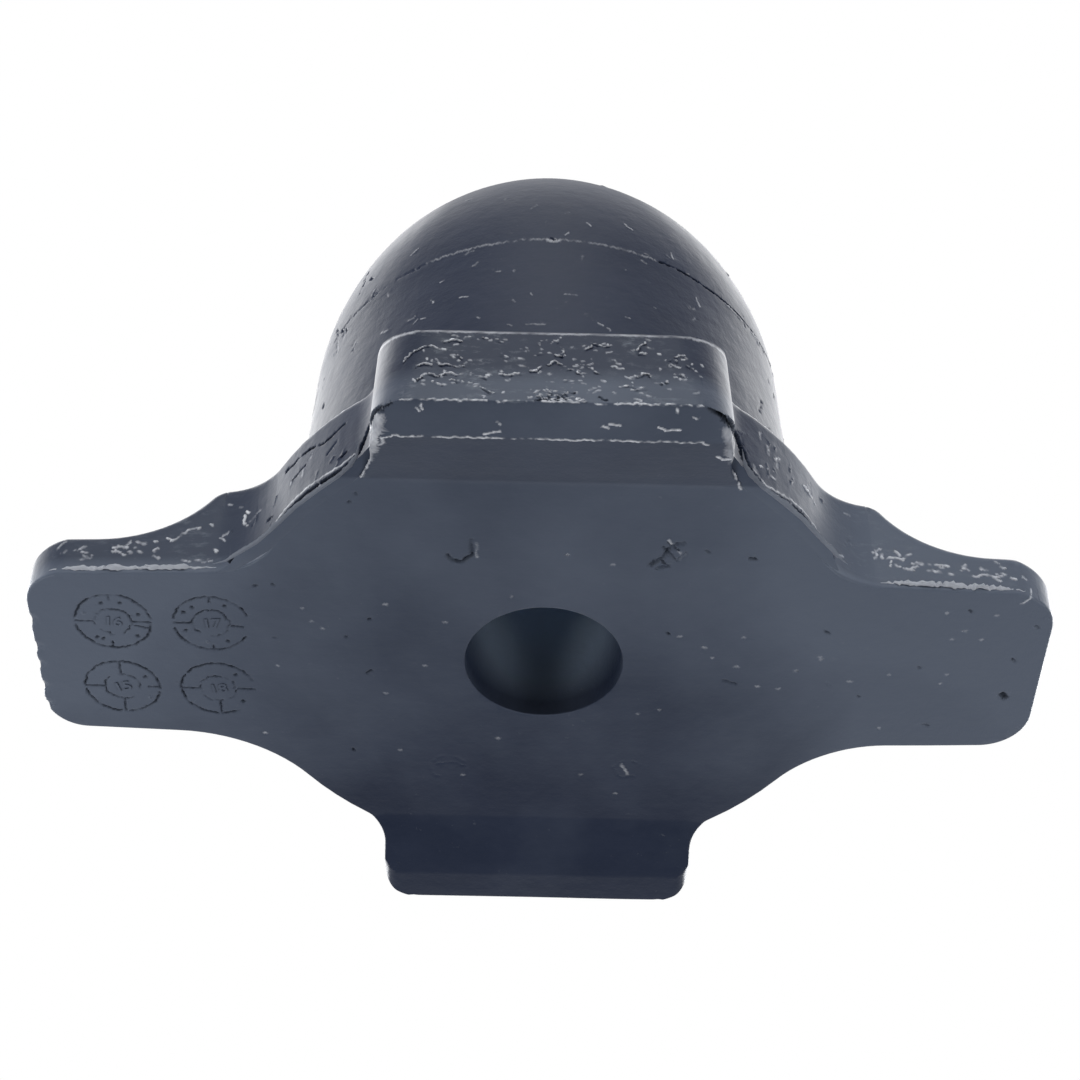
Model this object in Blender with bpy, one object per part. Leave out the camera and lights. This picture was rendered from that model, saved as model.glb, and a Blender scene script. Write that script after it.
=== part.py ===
"""Leaf spring bump stop: one moulded rubber piece with a domed buffer on a cross-shaped base."""
import math

import bmesh
import bpy

MM = 0.001

# Base plan, seen along the hole axis
BODY_RADIUS = 49.0 * MM          # round middle of the base
LEFT_WING_REACH = 81.3 * MM      # hole axis to wing tip, along -X
RIGHT_WING_REACH = 80.0 * MM     # hole axis to wing tip, along +X
WING_HALF_WIDTH = 19.2 * MM      # at the root
WING_TAPER = 0.04                # half-width lost per length
LEFT_WING_CORNER = 7.0 * MM
RIGHT_WING_CORNER = 8.0 * MM
WING_ROOT_FILLET = 12.0 * MM     # hollow corner between wing and round middle
LUG_REACH = 58.2 * MM            # hole axis to the outer face of a lug, along Y
LUG_HALF_WIDTH = 26.5 * MM
LUG_CORNER = 6.0 * MM
LUG_ROOT_FILLET = 8.0 * MM

# Heights above the flat underside
BODY_THICKNESS = 19.2 * MM
WING_TIP_THICKNESS = 8.8 * MM
WING_END_FALL = 1.2 * MM         # drop of the top towards the very tip
WING_END_LENGTH = 6.0 * MM       # over this length
SADDLE_RADIUS = 20.0 * MM        # hollow sweep on top of a wing
SADDLE_CENTRE = 70.2 * MM        # where the sweep reaches the tip thickness
SADDLE_CREST = 4.0 * MM          # rounding above the sweep
LUG_TIP_THICKNESS = 13.4 * MM
LUG_SLOPE_START = 47.0 * MM      # where the lug's top starts to fall
EDGE_ROUNDING = 1.8 * MM         # upper edges of the base

# Seat pads under the lugs
PAD_DROP = 3.1 * MM              # land below the underside
PAD_CREASE = 39.7 * MM           # where the ramp leaves the underside
PAD_LAND = 51.0 * MM             # where the ramp meets the land
PAD_SIDE_ROUNDING = 2.2 * MM     # between the land and the lug's sides

# Domed buffer
DOME_FOOT_RADIUS = 42.4 * MM     # wall radius at the top of the base
DOME_DRAFT = math.radians(2.04)
DOME_WALL_TOP = 55.3 * MM        # where wall and cap meet, at the mould line
DOME_APEX = 105.5 * MM
DOME_FOOT_FILLET = 3.0 * MM

# Socket for the head of the spring's centre bolt
SOCKET_RADIUS = 12.5 * MM
SOCKET_DEPTH = 45.0 * MM
SOCKET_DRAFT = math.radians(0.8)

# Date dials on the underside of the left wing
DIAL_COLUMNS = (-68.05 * MM, -52.57 * MM)
DIAL_ROWS = (-7.5 * MM, 7.8 * MM)
DIAL_RADIUS = 6.0 * MM
DIAL_INNER_RADIUS = 2.9 * MM
DIAL_GROOVE = 0.5 * MM
DIAL_DEPTH = 0.35 * MM

# Facets
ARC_STEP = math.radians(7.5)
DOME_FACETS = 112
CAP_RINGS = 14

# The lands stand on z = 0, so the underside lies one pad drop above it
UNDERSIDE = PAD_DROP


def arc(centre, radius, start, end, step=ARC_STEP):
    """Points along an arc, both ends included."""
    count = max(2, math.ceil(abs(end - start) / step))
    angles = [start + (end - start) * i / count for i in range(count + 1)]
    return [(centre[0] + radius * math.cos(a), centre[1] + radius * math.sin(a)) for a in angles]


def quarter_plan(wing_reach, wing_corner):
    """Plan outline from a wing tip on +X round to the lug face on +Y."""
    lean = math.atan(WING_TAPER)
    # Tip corner, between the straight tip and the leaning side
    tip = wing_reach - wing_corner
    side_at_tip = WING_HALF_WIDTH - WING_TAPER * (tip - BODY_RADIUS)
    corner_y = side_at_tip - wing_corner / math.cos(lean)
    points = [(wing_reach, 0.0)]
    points += arc((tip, corner_y), wing_corner, 0.0, math.pi / 2 - lean)
    # Hollow fillet between the wing's side and the round middle
    reach = BODY_RADIUS + WING_ROOT_FILLET
    x = BODY_RADIUS
    for _ in range(30):
        y = WING_HALF_WIDTH - WING_TAPER * (x - BODY_RADIUS) + WING_ROOT_FILLET / math.cos(lean)
        x = math.sqrt(reach ** 2 - y ** 2)
    leave = math.atan2(y, x)
    points += arc((x, y), WING_ROOT_FILLET, -math.pi / 2 - lean, leave - math.pi)
    # Round middle, up to the hollow fillet at the lug
    reach = BODY_RADIUS + LUG_ROOT_FILLET
    lx = LUG_HALF_WIDTH + LUG_ROOT_FILLET
    ly = math.sqrt(reach ** 2 - lx ** 2)
    meet = math.atan2(ly, lx)
    points += arc((0.0, 0.0), BODY_RADIUS, leave, meet, math.radians(4))[1:]
    points += arc((lx, ly), LUG_ROOT_FILLET, meet + math.pi, math.pi, math.radians(9))[1:]
    # Lug corner
    points += arc((LUG_HALF_WIDTH - LUG_CORNER, LUG_REACH - LUG_CORNER), LUG_CORNER, 0.0, math.pi / 2)
    return points + [(0.0, LUG_REACH)]


def whole_plan():
    """Outline of the base as one loop, from a right and a left quarter and their mirror image."""
    right = quarter_plan(RIGHT_WING_REACH, RIGHT_WING_CORNER)
    left = quarter_plan(LEFT_WING_REACH, LEFT_WING_CORNER)
    half = right + [(-x, y) for x, y in reversed(left[:-1])]
    return half + [(x, -y) for x, y in reversed(half[1:-1])]


def add_object(name, bm):
    bmesh.ops.recalc_face_normals(bm, faces=bm.faces)
    mesh = bpy.data.meshes.new(name)
    bm.to_mesh(mesh)
    bm.free()
    obj = bpy.data.objects.new(name, mesh)
    bpy.context.scene.collection.objects.link(obj)
    return obj


def prism(name, loop, place, travel):
    """Solid swept from a closed loop: place turns a loop point into 3-D, travel is the sweep."""
    bm = bmesh.new()
    face = bm.faces.new([bm.verts.new(place(*point)) for point in loop])
    swept = bmesh.ops.extrude_face_region(bm, geom=[face])
    moved = [item for item in swept["geom"] if isinstance(item, bmesh.types.BMVert)]
    bmesh.ops.translate(bm, verts=moved, vec=travel)
    return add_object(name, bm)


def turned(name, profile, facets):
    """Solid turned about Z from a profile that starts and ends on the axis."""
    bm = bmesh.new()
    line = [bm.verts.new((radius, 0.0, height)) for radius, height in profile]
    edges = [bm.edges.new(pair) for pair in zip(line, line[1:])]
    bmesh.ops.spin(bm, geom=line + edges, cent=(0, 0, 0), axis=(0, 0, 1),
                   angle=2 * math.pi, steps=facets, use_merge=True)
    bmesh.ops.remove_doubles(bm, verts=bm.verts, dist=1e-6)
    return add_object(name, bm)


def combine(target, tool, operation):
    """Exact Boolean of two solids; the tool is used up."""
    modifier = target.modifiers.new(operation, "BOOLEAN")
    modifier.operation = operation
    modifier.solver = "EXACT"
    modifier.object = tool
    graph = bpy.context.evaluated_depsgraph_get()
    result = bpy.data.meshes.new_from_object(target.evaluated_get(graph))
    target.modifiers.clear()
    old, target.data = target.data, result
    result.name = target.name
    bpy.data.meshes.remove(old)
    bpy.data.objects.remove(tool)


def wing_top(reach):
    """Half of the base's side view: its upper line from the middle to beyond a wing's tip."""
    tip_z = UNDERSIDE + WING_TIP_THICKNESS
    sweep_z = tip_z + SADDLE_RADIUS
    crest_z = UNDERSIDE + BODY_THICKNESS - SADDLE_CREST
    apart = SADDLE_RADIUS + SADDLE_CREST
    crest_x = SADDLE_CENTRE - math.sqrt(apart ** 2 - (sweep_z - crest_z) ** 2)
    slope = math.atan2(sweep_z - crest_z, SADDLE_CENTRE - crest_x)
    line = [(0.0, UNDERSIDE + BODY_THICKNESS)]
    line += arc((crest_x, crest_z), SADDLE_CREST, math.pi / 2, slope, math.radians(9))
    line += arc((SADDLE_CENTRE, sweep_z), SADDLE_RADIUS, math.pi + slope, 1.5 * math.pi, math.radians(5))[1:]
    # The last stretch falls a little, and runs on past the tip so that the cut is clean
    line.append((reach - WING_END_LENGTH, tip_z))
    line.append((reach + WING_END_LENGTH, tip_z - 2 * WING_END_FALL))
    return line


def make_base():
    """Plan, side view and end view swept and intersected, then the upper edges rounded."""
    deep, high = -5 * MM, UNDERSIDE + BODY_THICKNESS
    base = prism("bump_stop", whole_plan(),
                 lambda x, y: (x, y, deep), (0, 0, high - deep + 5 * MM))

    right, left = wing_top(RIGHT_WING_REACH), wing_top(LEFT_WING_REACH)
    loop = right + [(right[-1][0], 2 * deep), (-left[-1][0], 2 * deep)]
    loop += [(-x, z) for x, z in reversed(left[1:])]
    width = 2 * LUG_REACH
    combine(base, prism("side_view", loop, lambda x, z: (x, -width, z), (0, 2 * width, 0)), "INTERSECT")

    beyond = LUG_REACH + 5 * MM
    fall = (BODY_THICKNESS - LUG_TIP_THICKNESS) / (LUG_REACH - LUG_SLOPE_START)
    low = high - fall * (beyond - LUG_SLOPE_START)
    half = [(PAD_CREASE, UNDERSIDE), (PAD_LAND, 0.0), (beyond, 0.0), (beyond, low),
            (LUG_SLOPE_START, high)]
    raised = half[:-1] + [(LUG_SLOPE_START, high), (LUG_SLOPE_START - 1 * MM, high + 5 * MM)]
    loop = raised + [(-y, z) for y, z in reversed(raised)]
    length = LEFT_WING_REACH + RIGHT_WING_REACH
    combine(base, prism("end_view", loop, lambda y, z: (-length, y, z), (2 * length, 0, 0)), "INTERSECT")
    round_upper_edges(base)
    return base


def round_upper_edges(base):
    bm = bmesh.new()
    bm.from_mesh(base.data)
    bmesh.ops.dissolve_limit(bm, angle_limit=math.radians(0.5), verts=bm.verts, edges=bm.edges)
    rim = []
    for edge in bm.edges:
        if len(edge.link_faces) != 2:
            continue
        rises = sorted(face.normal.z for face in edge.link_faces)
        if abs(rises[0]) < 0.05 and rises[1] > 0.3:
            rim.append(edge)
    bmesh.ops.bevel(bm, geom=rim, offset=EDGE_ROUNDING, offset_type="OFFSET", segments=3,
                    profile=0.5, affect="EDGES", clamp_overlap=True, material=-1)
    bm.to_mesh(base.data)
    bm.free()


def round_pad_sides(base):
    """Rounds the pads' long side edges; the rounding fades out where the ramp climbs away."""
    crease_x = math.sqrt(BODY_RADIUS ** 2 - PAD_CREASE ** 2)
    stations = [(PAD_CREASE, crease_x), (PAD_LAND, LUG_HALF_WIDTH), (LUG_REACH + 1 * MM, LUG_HALF_WIDTH)]
    land = UNDERSIDE - PAD_DROP
    clear = 5 * MM
    for sx in (1, -1):
        for sy in (1, -1):
            bm = bmesh.new()
            rings = []
            for y, side in stations:
                section = arc((side - PAD_SIDE_ROUNDING, land + PAD_SIDE_ROUNDING), PAD_SIDE_ROUNDING,
                              -math.pi / 2, 0.0, math.radians(30))
                section += [(side + clear, land + PAD_SIDE_ROUNDING), (side + clear, land - clear),
                            (side - PAD_SIDE_ROUNDING, land - clear)]
                rings.append([bm.verts.new((sx * x, sy * y, z)) for x, z in section])
            bm.faces.new(rings[0])
            bm.faces.new(rings[-1])
            for near, far in zip(rings, rings[1:]):
                for i in range(len(near)):
                    bm.faces.new((near[i], near[i - 1], far[i - 1], far[i]))
            combine(base, add_object("pad_rounding", bm), "DIFFERENCE")


def add_dome(base):
    top = UNDERSIDE + BODY_THICKNESS
    wall_top = UNDERSIDE + DOME_WALL_TOP
    foot = DOME_FOOT_RADIUS + DOME_FOOT_FILLET
    sunk = 0.15 * MM
    profile = [(0.0, top - 8 * MM), (foot, top - 8 * MM)]
    for i in range(4):
        a = math.pi / 2 * i / 4
        profile.append((foot - DOME_FOOT_FILLET * math.sin(a),
                        top - sunk + DOME_FOOT_FILLET * (1 - math.cos(a))))
    radius = DOME_FOOT_RADIUS - (wall_top - top) * math.tan(DOME_DRAFT)
    height = DOME_APEX - DOME_WALL_TOP
    for i in range(CAP_RINGS):
        a = math.pi / 2 * i / CAP_RINGS
        profile.append((radius * math.cos(a), wall_top + height * math.sin(a)))
    profile.append((0.0, wall_top + height))
    combine(base, turned("dome", profile, DOME_FACETS), "UNION")


def cut_socket(base):
    """Blind hole up the middle, with a rounded end."""
    straight = SOCKET_DEPTH - SOCKET_RADIUS * 0.7
    end_radius = SOCKET_RADIUS - straight * math.tan(SOCKET_DRAFT)
    below = 6 * MM
    profile = [(0.0, UNDERSIDE - below),
               (SOCKET_RADIUS + below * math.tan(SOCKET_DRAFT), UNDERSIDE - below)]
    rings = 7
    for i in range(rings):
        a = math.pi / 2 * i / rings
        profile.append((end_radius * math.cos(a),
                        UNDERSIDE + straight + (SOCKET_DEPTH - straight) * math.sin(a)))
    profile.append((0.0, UNDERSIDE + SOCKET_DEPTH))
    combine(base, turned("socket", profile, 64), "DIFFERENCE")


def ring_cutter(name, x, y, outer, inner, facets):
    """Ring-shaped tool for a groove in the underside."""
    bm = bmesh.new()
    low, up = UNDERSIDE - 1 * MM, UNDERSIDE + DIAL_DEPTH
    section = [(outer, low), (outer, up), (inner, up), (inner, low)]
    line = [bm.verts.new((radius, 0.0, height)) for radius, height in section]
    edges = [bm.edges.new((line[i - 1], line[i])) for i in range(4)]
    bmesh.ops.spin(bm, geom=line + edges, cent=(0, 0, 0), axis=(0, 0, 1),
                   angle=2 * math.pi, steps=facets, use_merge=True)
    bmesh.ops.remove_doubles(bm, verts=bm.verts, dist=1e-6)
    bmesh.ops.translate(bm, verts=bm.verts, vec=(x, y, 0))
    return add_object(name, bm)


def engrave_dials(base):
    """Two plain rings for each date dial."""
    for x in DIAL_COLUMNS:
        for y in DIAL_ROWS:
            for outer in (DIAL_RADIUS, DIAL_INNER_RADIUS):
                tool = ring_cutter("dial_ring", x, y, outer, outer - DIAL_GROOVE, 36)
                combine(base, tool, "DIFFERENCE")


def paint(base):
    """Blue-black moulded rubber with a soft sheen."""
    material = bpy.data.materials.new("moulded_rubber")
    material.use_nodes = True
    shader = material.node_tree.nodes["Principled BSDF"]
    shader.inputs["Base Color"].default_value = (0.030, 0.035, 0.045, 1.0)
    shader.inputs["Roughness"].default_value = 0.42
    base.data.materials.clear()
    base.data.materials.append(material)
    base.data.shade_smooth()
    base.data.set_sharp_from_angle(angle=math.radians(30))


for old in list(bpy.data.objects):
    bpy.data.objects.remove(old)
stop = make_base()
round_pad_sides(stop)
add_dome(stop)
cut_socket(stop)
engrave_dials(stop)
paint(stop)
# The origin lies half-way between the wing tips, a little beside the hole axis
stop.location.x = (LEFT_WING_REACH - RIGHT_WING_REACH) / 2
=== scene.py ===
# %% [markdown]
# # Leaf spring bump stop
# One piece of moulded rubber: a domed buffer on a cross-shaped base. The frame below holds its plain solid
# at the true size. This lesson models the same form finely, presses the marks of moulding and handling
# into its skin, and lights it from the low viewpoint that shows its underside.
# %% Load the frame
import math
import random

import bmesh
import bpy
from mathutils import Matrix, Vector, noise
from mathutils.bvhtree import BVHTree
from mathutils.kdtree import KDTree


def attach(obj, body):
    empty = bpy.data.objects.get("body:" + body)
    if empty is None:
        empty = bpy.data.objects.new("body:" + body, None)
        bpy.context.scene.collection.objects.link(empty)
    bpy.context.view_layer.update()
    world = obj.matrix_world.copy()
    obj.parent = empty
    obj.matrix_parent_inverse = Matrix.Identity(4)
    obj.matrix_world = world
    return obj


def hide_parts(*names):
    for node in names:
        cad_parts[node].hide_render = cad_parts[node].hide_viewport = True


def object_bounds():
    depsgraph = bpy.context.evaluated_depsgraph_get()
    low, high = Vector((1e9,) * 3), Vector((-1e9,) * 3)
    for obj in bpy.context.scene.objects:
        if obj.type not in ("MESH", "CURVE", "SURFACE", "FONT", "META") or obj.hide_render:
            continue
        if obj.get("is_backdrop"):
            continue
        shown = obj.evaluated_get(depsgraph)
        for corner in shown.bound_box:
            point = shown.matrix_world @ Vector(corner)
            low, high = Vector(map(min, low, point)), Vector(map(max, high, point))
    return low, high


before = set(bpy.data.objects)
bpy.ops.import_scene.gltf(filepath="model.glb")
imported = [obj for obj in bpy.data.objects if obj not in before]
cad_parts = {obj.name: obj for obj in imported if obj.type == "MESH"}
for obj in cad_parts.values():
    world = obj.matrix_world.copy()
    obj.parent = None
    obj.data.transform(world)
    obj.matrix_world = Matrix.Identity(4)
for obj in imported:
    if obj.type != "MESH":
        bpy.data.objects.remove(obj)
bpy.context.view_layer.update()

MM = 0.001
noise.seed_set(41)                     # unseeded, its vectors would differ from run to run

# %% [markdown]
# ## The camera
# The picture was taken from below and in front. Its distance, tilt and turn were worked out from the outline,
# the hole's ellipse and the dials, so they are written as real sizes. A camera at zero turn looks straight
# down; tipping it up past the horizon by the tilt makes it look up at the underside.
# %% Camera
IMAGE_SIDE = 1080                      # pixels
SENSOR_WIDTH = 36.0                    # mm on the camera's own scale
HOLE_PIXEL = (543.8, 663.5)            # where the middle of the hole's mouth lands in the picture
PIXELS_PER_MM = 6.2515                 # at the hole's distance
CAMERA_DISTANCE = 376.1 * MM
CAMERA_TILT = math.radians(45.41)      # looking up, from below the base plane
CAMERA_TURN = math.radians(-0.82)
CAMERA_ROLL = math.radians(0.69)

HOLE_AXIS_X = 0.65 * MM                # the wings differ in length, so the hole lies beside the origin
UNDERSIDE = 3.1 * MM                   # the flat underside; the pads under the lugs reach down to zero


def place_camera():
    data = bpy.data.cameras.new("camera")
    camera = bpy.data.objects.new("camera", data)
    bpy.context.scene.collection.objects.link(camera)
    data.sensor_width = SENSOR_WIDTH
    data.lens = PIXELS_PER_MM * CAMERA_DISTANCE / MM * SENSOR_WIDTH / IMAGE_SIDE
    data.clip_start, data.clip_end = 0.01, 20.0
    turn = Matrix.Rotation(CAMERA_TURN, 4, "Z")
    tilt = Matrix.Rotation(math.pi / 2 + CAMERA_TILT, 4, "X")
    roll = Matrix.Rotation(CAMERA_ROLL, 4, "Z")
    facing = turn @ tilt @ roll
    half = IMAGE_SIDE / 2
    beside = -(HOLE_PIXEL[0] - half) / PIXELS_PER_MM * MM
    above = (HOLE_PIXEL[1] - half) / PIXELS_PER_MM * MM
    hole = Vector((HOLE_AXIS_X, 0, UNDERSIDE))
    place = hole + facing.to_3x3() @ Vector((beside, above, CAMERA_DISTANCE))
    camera.matrix_world = Matrix.Translation(place) @ facing
    bpy.context.scene.camera = camera
    return camera


camera = place_camera()
print("camera at", [round(v, 4) for v in camera.location], "lens", round(camera.data.lens, 2))

# %% [markdown]
# ## Drawing an outline from bends
# The base can be read as three swept outlines that meet: its plan, its side view and its end view. Each
# outline is straight stretches between round bends, so it is written as a list of bends. One vertex swept
# about a bend's centre draws that arc, and the arcs are then joined, filled and extruded.
# %% Outline helpers
BEND_STEP = math.radians(4)
QUARTER = math.pi / 2


def bend(x, y, radius=0.0, start=0.0, end=0.0):
    """One round bend of an outline; without a radius it is a plain corner."""
    return (x, y, radius, start, end)


def mirrored_x(bends):
    return [(-x, y, r, math.pi - end, math.pi - start) for x, y, r, start, end in reversed(bends)]


def mirrored_y(bends):
    return [(x, -y, r, -end, -start) for x, y, r, start, end in reversed(bends)]


def draw_bend(bm, x, y, radius, start, end):
    """Draws one bend in the XY plane and returns its first and last vertex."""
    first = bm.verts.new((x + radius * math.cos(start), y + radius * math.sin(start), 0))
    if not radius:
        return first, first
    steps = max(2, round(abs(end - start) / BEND_STEP))
    swept = bmesh.ops.spin(bm, geom=[first], cent=(x, y, 0), axis=(0, 0, 1), angle=end - start, steps=steps)
    last = [item for item in swept["geom_last"] if isinstance(item, bmesh.types.BMVert)][0]
    return first, last


def link(bm, name):
    """Puts a finished bmesh into the scene as an object at the origin."""
    mesh = bpy.data.meshes.new(name)
    bm.to_mesh(mesh)
    bm.free()
    obj = bpy.data.objects.new(name, mesh)
    bpy.context.scene.collection.objects.link(obj)
    return obj


def filled_outline(bends, plane):
    """A bmesh of one face: the bends drawn, joined and filled, then turned into their plane."""
    bm = bmesh.new()
    ends = [draw_bend(bm, *item) for item in bends]
    for (_, last), (first, _) in zip(ends, ends[1:] + ends[:1]):
        bm.edges.new((last, first))
    bmesh.ops.remove_doubles(bm, verts=bm.verts, dist=1e-7)
    bmesh.ops.contextual_create(bm, geom=bm.edges[:])
    bmesh.ops.transform(bm, verts=bm.verts, matrix=plane)
    return bm


def carry_on(bm, face, travel):
    """Extrudes a face along travel and returns the face at the far end; a first face stays as the cap."""
    inner = any(len(edge.link_faces) > 1 for edge in face.edges)
    far = bmesh.ops.extrude_face_region(bm, geom=[face])["geom"]
    bmesh.ops.translate(bm, verts=[i for i in far if isinstance(i, bmesh.types.BMVert)], vec=travel)
    if inner and face.is_valid:
        bmesh.ops.delete(bm, geom=[face], context="FACES_ONLY")
    return [item for item in far if isinstance(item, bmesh.types.BMFace)][0]


def swept_outline(name, bends, plane, *travels):
    """A solid: the filled outline carried along one travel after another."""
    bm = filled_outline(bends, plane)
    bm.faces.ensure_lookup_table()
    face = bm.faces[0]
    for travel in travels:
        face = carry_on(bm, face, travel)
    bmesh.ops.recalc_face_normals(bm, faces=bm.faces)
    return link(bm, name)


def in_order(mesh):
    """Sorts a mesh by place. A Boolean hands its points over in a new order at each run, and each later step
    works through them in the order it finds, so that without this two runs would differ a little."""
    slant = Vector((1, 1.618, 2.718))
    old = bmesh.new()
    old.from_mesh(mesh)
    bm = bmesh.new()
    twins = {}
    for vert in sorted(old.verts, key=lambda vert: vert.co.dot(slant)):
        twins[vert] = bm.verts.new(vert.co)
    bm.verts.index_update()
    rings = []
    for face in old.faces:
        ring = [twins[vert] for vert in face.verts]
        first = min(range(len(ring)), key=lambda i: ring[i].index)
        rings.append(ring[first:] + ring[:first])
    for ring in sorted(rings, key=lambda ring: [vert.index for vert in ring]):
        bm.faces.new(ring)
    bm.to_mesh(mesh)
    bm.free()
    old.free()


def measured(mesh):
    """Volume and box of a mesh, in millimetres."""
    bm = bmesh.new()
    bm.from_mesh(mesh)
    volume = abs(bm.calc_volume()) / MM ** 3
    box = [0] * 6
    if bm.verts:
        box = [pick(vert.co[axis] for vert in bm.verts) / MM for axis in range(3) for pick in (min, max)]
    bm.free()
    return volume, box


def plausible(operation, before, tool, after):
    """Whether a Boolean's result can be right, judged by volume and by how far it reaches."""
    grown, least, most = before[1], 0.05 * before[0], before[0]
    if operation == "UNION":
        grown = [pick(a, b) for a, b, pick in zip(before[1], tool[1], (min, max) * 3)]
        least, most = max(before[0], tool[0]), before[0] + tool[0]
    elif operation == "DIFFERENCE":
        least = before[0] - tool[0]
    same = operation == "INTERSECT" or all(abs(a - b) < 0.1 for a, b in zip(grown, after[1]))
    return same and 0.999 * least < after[0] < 1.0005 * most


def combine(target, tool, operation):
    """Exact Boolean of two solids; the tool is used up. A result that can't be right is tried again, slightly moved."""
    before, used = measured(target.data), measured(tool.data)
    for attempt in range(12):
        modifier = target.modifiers.new(operation, "BOOLEAN")
        modifier.operation = operation
        modifier.solver = "EXACT"
        modifier.object = tool
        graph = bpy.context.evaluated_depsgraph_get()
        result = bpy.data.meshes.new_from_object(target.evaluated_get(graph))
        target.modifiers.clear()
        if plausible(operation, before, used, measured(result)):
            break
        print("tried again:", tool.name, operation)
        tool.data.transform(Matrix.Translation((0.002 * MM, 0.002 * MM, 0)))
    else:
        raise RuntimeError("no sound result for " + tool.name)
    in_order(result)
    target.data = result
    result.name = target.name
    bpy.data.objects.remove(tool)
    return target


# %% [markdown]
# ## The plan of the base
# A round middle carries two wings, which U-bolts press on, and two short lugs. The corners where they meet
# the middle are hollow fillets, so the rubber doesn't tear there. The left wing is a little longer. One
# quarter is worked out from the driving sizes; mirroring gives the rest.
# %% Plan outline
BODY_RADIUS = 49.0 * MM
LEFT_WING_REACH = 81.3 * MM
RIGHT_WING_REACH = 80.0 * MM
WING_HALF_WIDTH = 19.2 * MM
WING_TAPER = 0.04
LEFT_WING_CORNER = 7.0 * MM
RIGHT_WING_CORNER = 8.0 * MM
WING_ROOT_FILLET = 12.0 * MM          # in front; at the back the hollows are wider
BACK_FILLETS = (22.0 * MM, 27.0 * MM)  # right, left
LUG_REACH = 58.2 * MM
LUG_HALF_WIDTH = 26.5 * MM
LUG_CORNER = 6.0 * MM
LUG_ROOT_FILLET = 8.0 * MM


def quarter_plan(reach, corner, fillet):
    """The bends from a wing's tip on +X round to the lug's face on +Y."""
    lean = math.atan(WING_TAPER)
    tip = reach - corner
    side_at_tip = WING_HALF_WIDTH - WING_TAPER * (tip - BODY_RADIUS)
    bends = [bend(tip, side_at_tip - corner / math.cos(lean), corner, 0, QUARTER - lean)]
    # The hollow between wing and middle touches both, which a few passes settle
    apart = BODY_RADIUS + fillet
    x = BODY_RADIUS
    for _ in range(30):
        y = WING_HALF_WIDTH - WING_TAPER * (x - BODY_RADIUS) + fillet / math.cos(lean)
        x = math.sqrt(apart ** 2 - y ** 2)
    leave = math.atan2(y, x)
    bends.append(bend(x, y, fillet, -QUARTER - lean, leave - math.pi))
    # Round middle, then the hollow at the lug and the lug's own corner
    lug_x = LUG_HALF_WIDTH + LUG_ROOT_FILLET
    lug_y = math.sqrt((BODY_RADIUS + LUG_ROOT_FILLET) ** 2 - lug_x ** 2)
    meet = math.atan2(lug_y, lug_x)
    bends.append(bend(0, 0, BODY_RADIUS, leave, meet))
    bends.append(bend(lug_x, lug_y, LUG_ROOT_FILLET, meet + math.pi, math.pi))
    bends.append(bend(LUG_HALF_WIDTH - LUG_CORNER, LUG_REACH - LUG_CORNER, LUG_CORNER, 0, QUARTER))
    return bends


def half_plan(right_fillet, left_fillet):
    half = quarter_plan(RIGHT_WING_REACH, RIGHT_WING_CORNER, right_fillet)
    return half + mirrored_x(quarter_plan(LEFT_WING_REACH, LEFT_WING_CORNER, left_fillet))


def whole_plan():
    return half_plan(*BACK_FILLETS) + mirrored_y(half_plan(WING_ROOT_FILLET, WING_ROOT_FILLET))


print("plan outline has", len(whole_plan()), "bends")

# %% [markdown]
# ## The base from three views
# Seen from the side, each wing's top sweeps down in a hollow, where a U-bolt lies, to a thin end. Seen from
# the end, each lug's top falls away, and below it a pad steps down by a ramp to a flat land. Intersecting
# the three swept outlines gives all of these at once, the way a mould maker reads a drawing. Two more cuts
# make the lugs' corners rounder at the top and round the pads' long sides.
# %% Base
BODY_THICKNESS = 19.2 * MM
WING_TIP_THICKNESS = 8.8 * MM
WING_END_FALL = 1.2 * MM
WING_END_LENGTH = 6.0 * MM
SADDLE_RADIUS = 20.0 * MM
SADDLE_CENTRE = 70.2 * MM
SADDLE_CREST = 4.0 * MM
LUG_TIP_THICKNESS = 12.9 * MM
LUG_SLOPE_START = 47.0 * MM
PAD_CREASE = 39.7 * MM
PAD_LAND = 51.0 * MM
PAD_SIDE_ROUNDING = 2.2 * MM
LUG_TOP_CORNER_GROWTH = 1.8            # the corner's radius at the lug's top, over that at its foot
BASE_TOP = UNDERSIDE + BODY_THICKNESS
SPARE = 5 * MM                         # how far a cutting outline runs past the shape it cuts

UPRIGHT_ALONG_X = Matrix.Rotation(QUARTER, 4, "X")
UPRIGHT_ALONG_Y = Matrix(((0, 0, 1, 0), (1, 0, 0, 0), (0, 1, 0, 0), (0, 0, 0, 1)))


def wing_top(reach):
    """The side view's upper line, from the crest above the wing's root to beyond its tip."""
    tip_z = UNDERSIDE + WING_TIP_THICKNESS
    sweep_z = tip_z + SADDLE_RADIUS
    crest_z = BASE_TOP - SADDLE_CREST
    crest_x = SADDLE_CENTRE - math.sqrt((SADDLE_RADIUS + SADDLE_CREST) ** 2 - (sweep_z - crest_z) ** 2)
    slope = math.atan2(sweep_z - crest_z, SADDLE_CENTRE - crest_x)
    return [bend(crest_x, crest_z, SADDLE_CREST, QUARTER, slope),
            bend(SADDLE_CENTRE, sweep_z, SADDLE_RADIUS, math.pi + slope, 3 * QUARTER),
            bend(reach - WING_END_LENGTH, tip_z),
            bend(reach + WING_END_LENGTH, tip_z - 2 * WING_END_FALL)]


def side_view():
    right = wing_top(RIGHT_WING_REACH) + [bend(RIGHT_WING_REACH + WING_END_LENGTH, -2 * SPARE)]
    left = wing_top(LEFT_WING_REACH) + [bend(LEFT_WING_REACH + WING_END_LENGTH, -2 * SPARE)]
    return right + mirrored_x(left)


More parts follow.
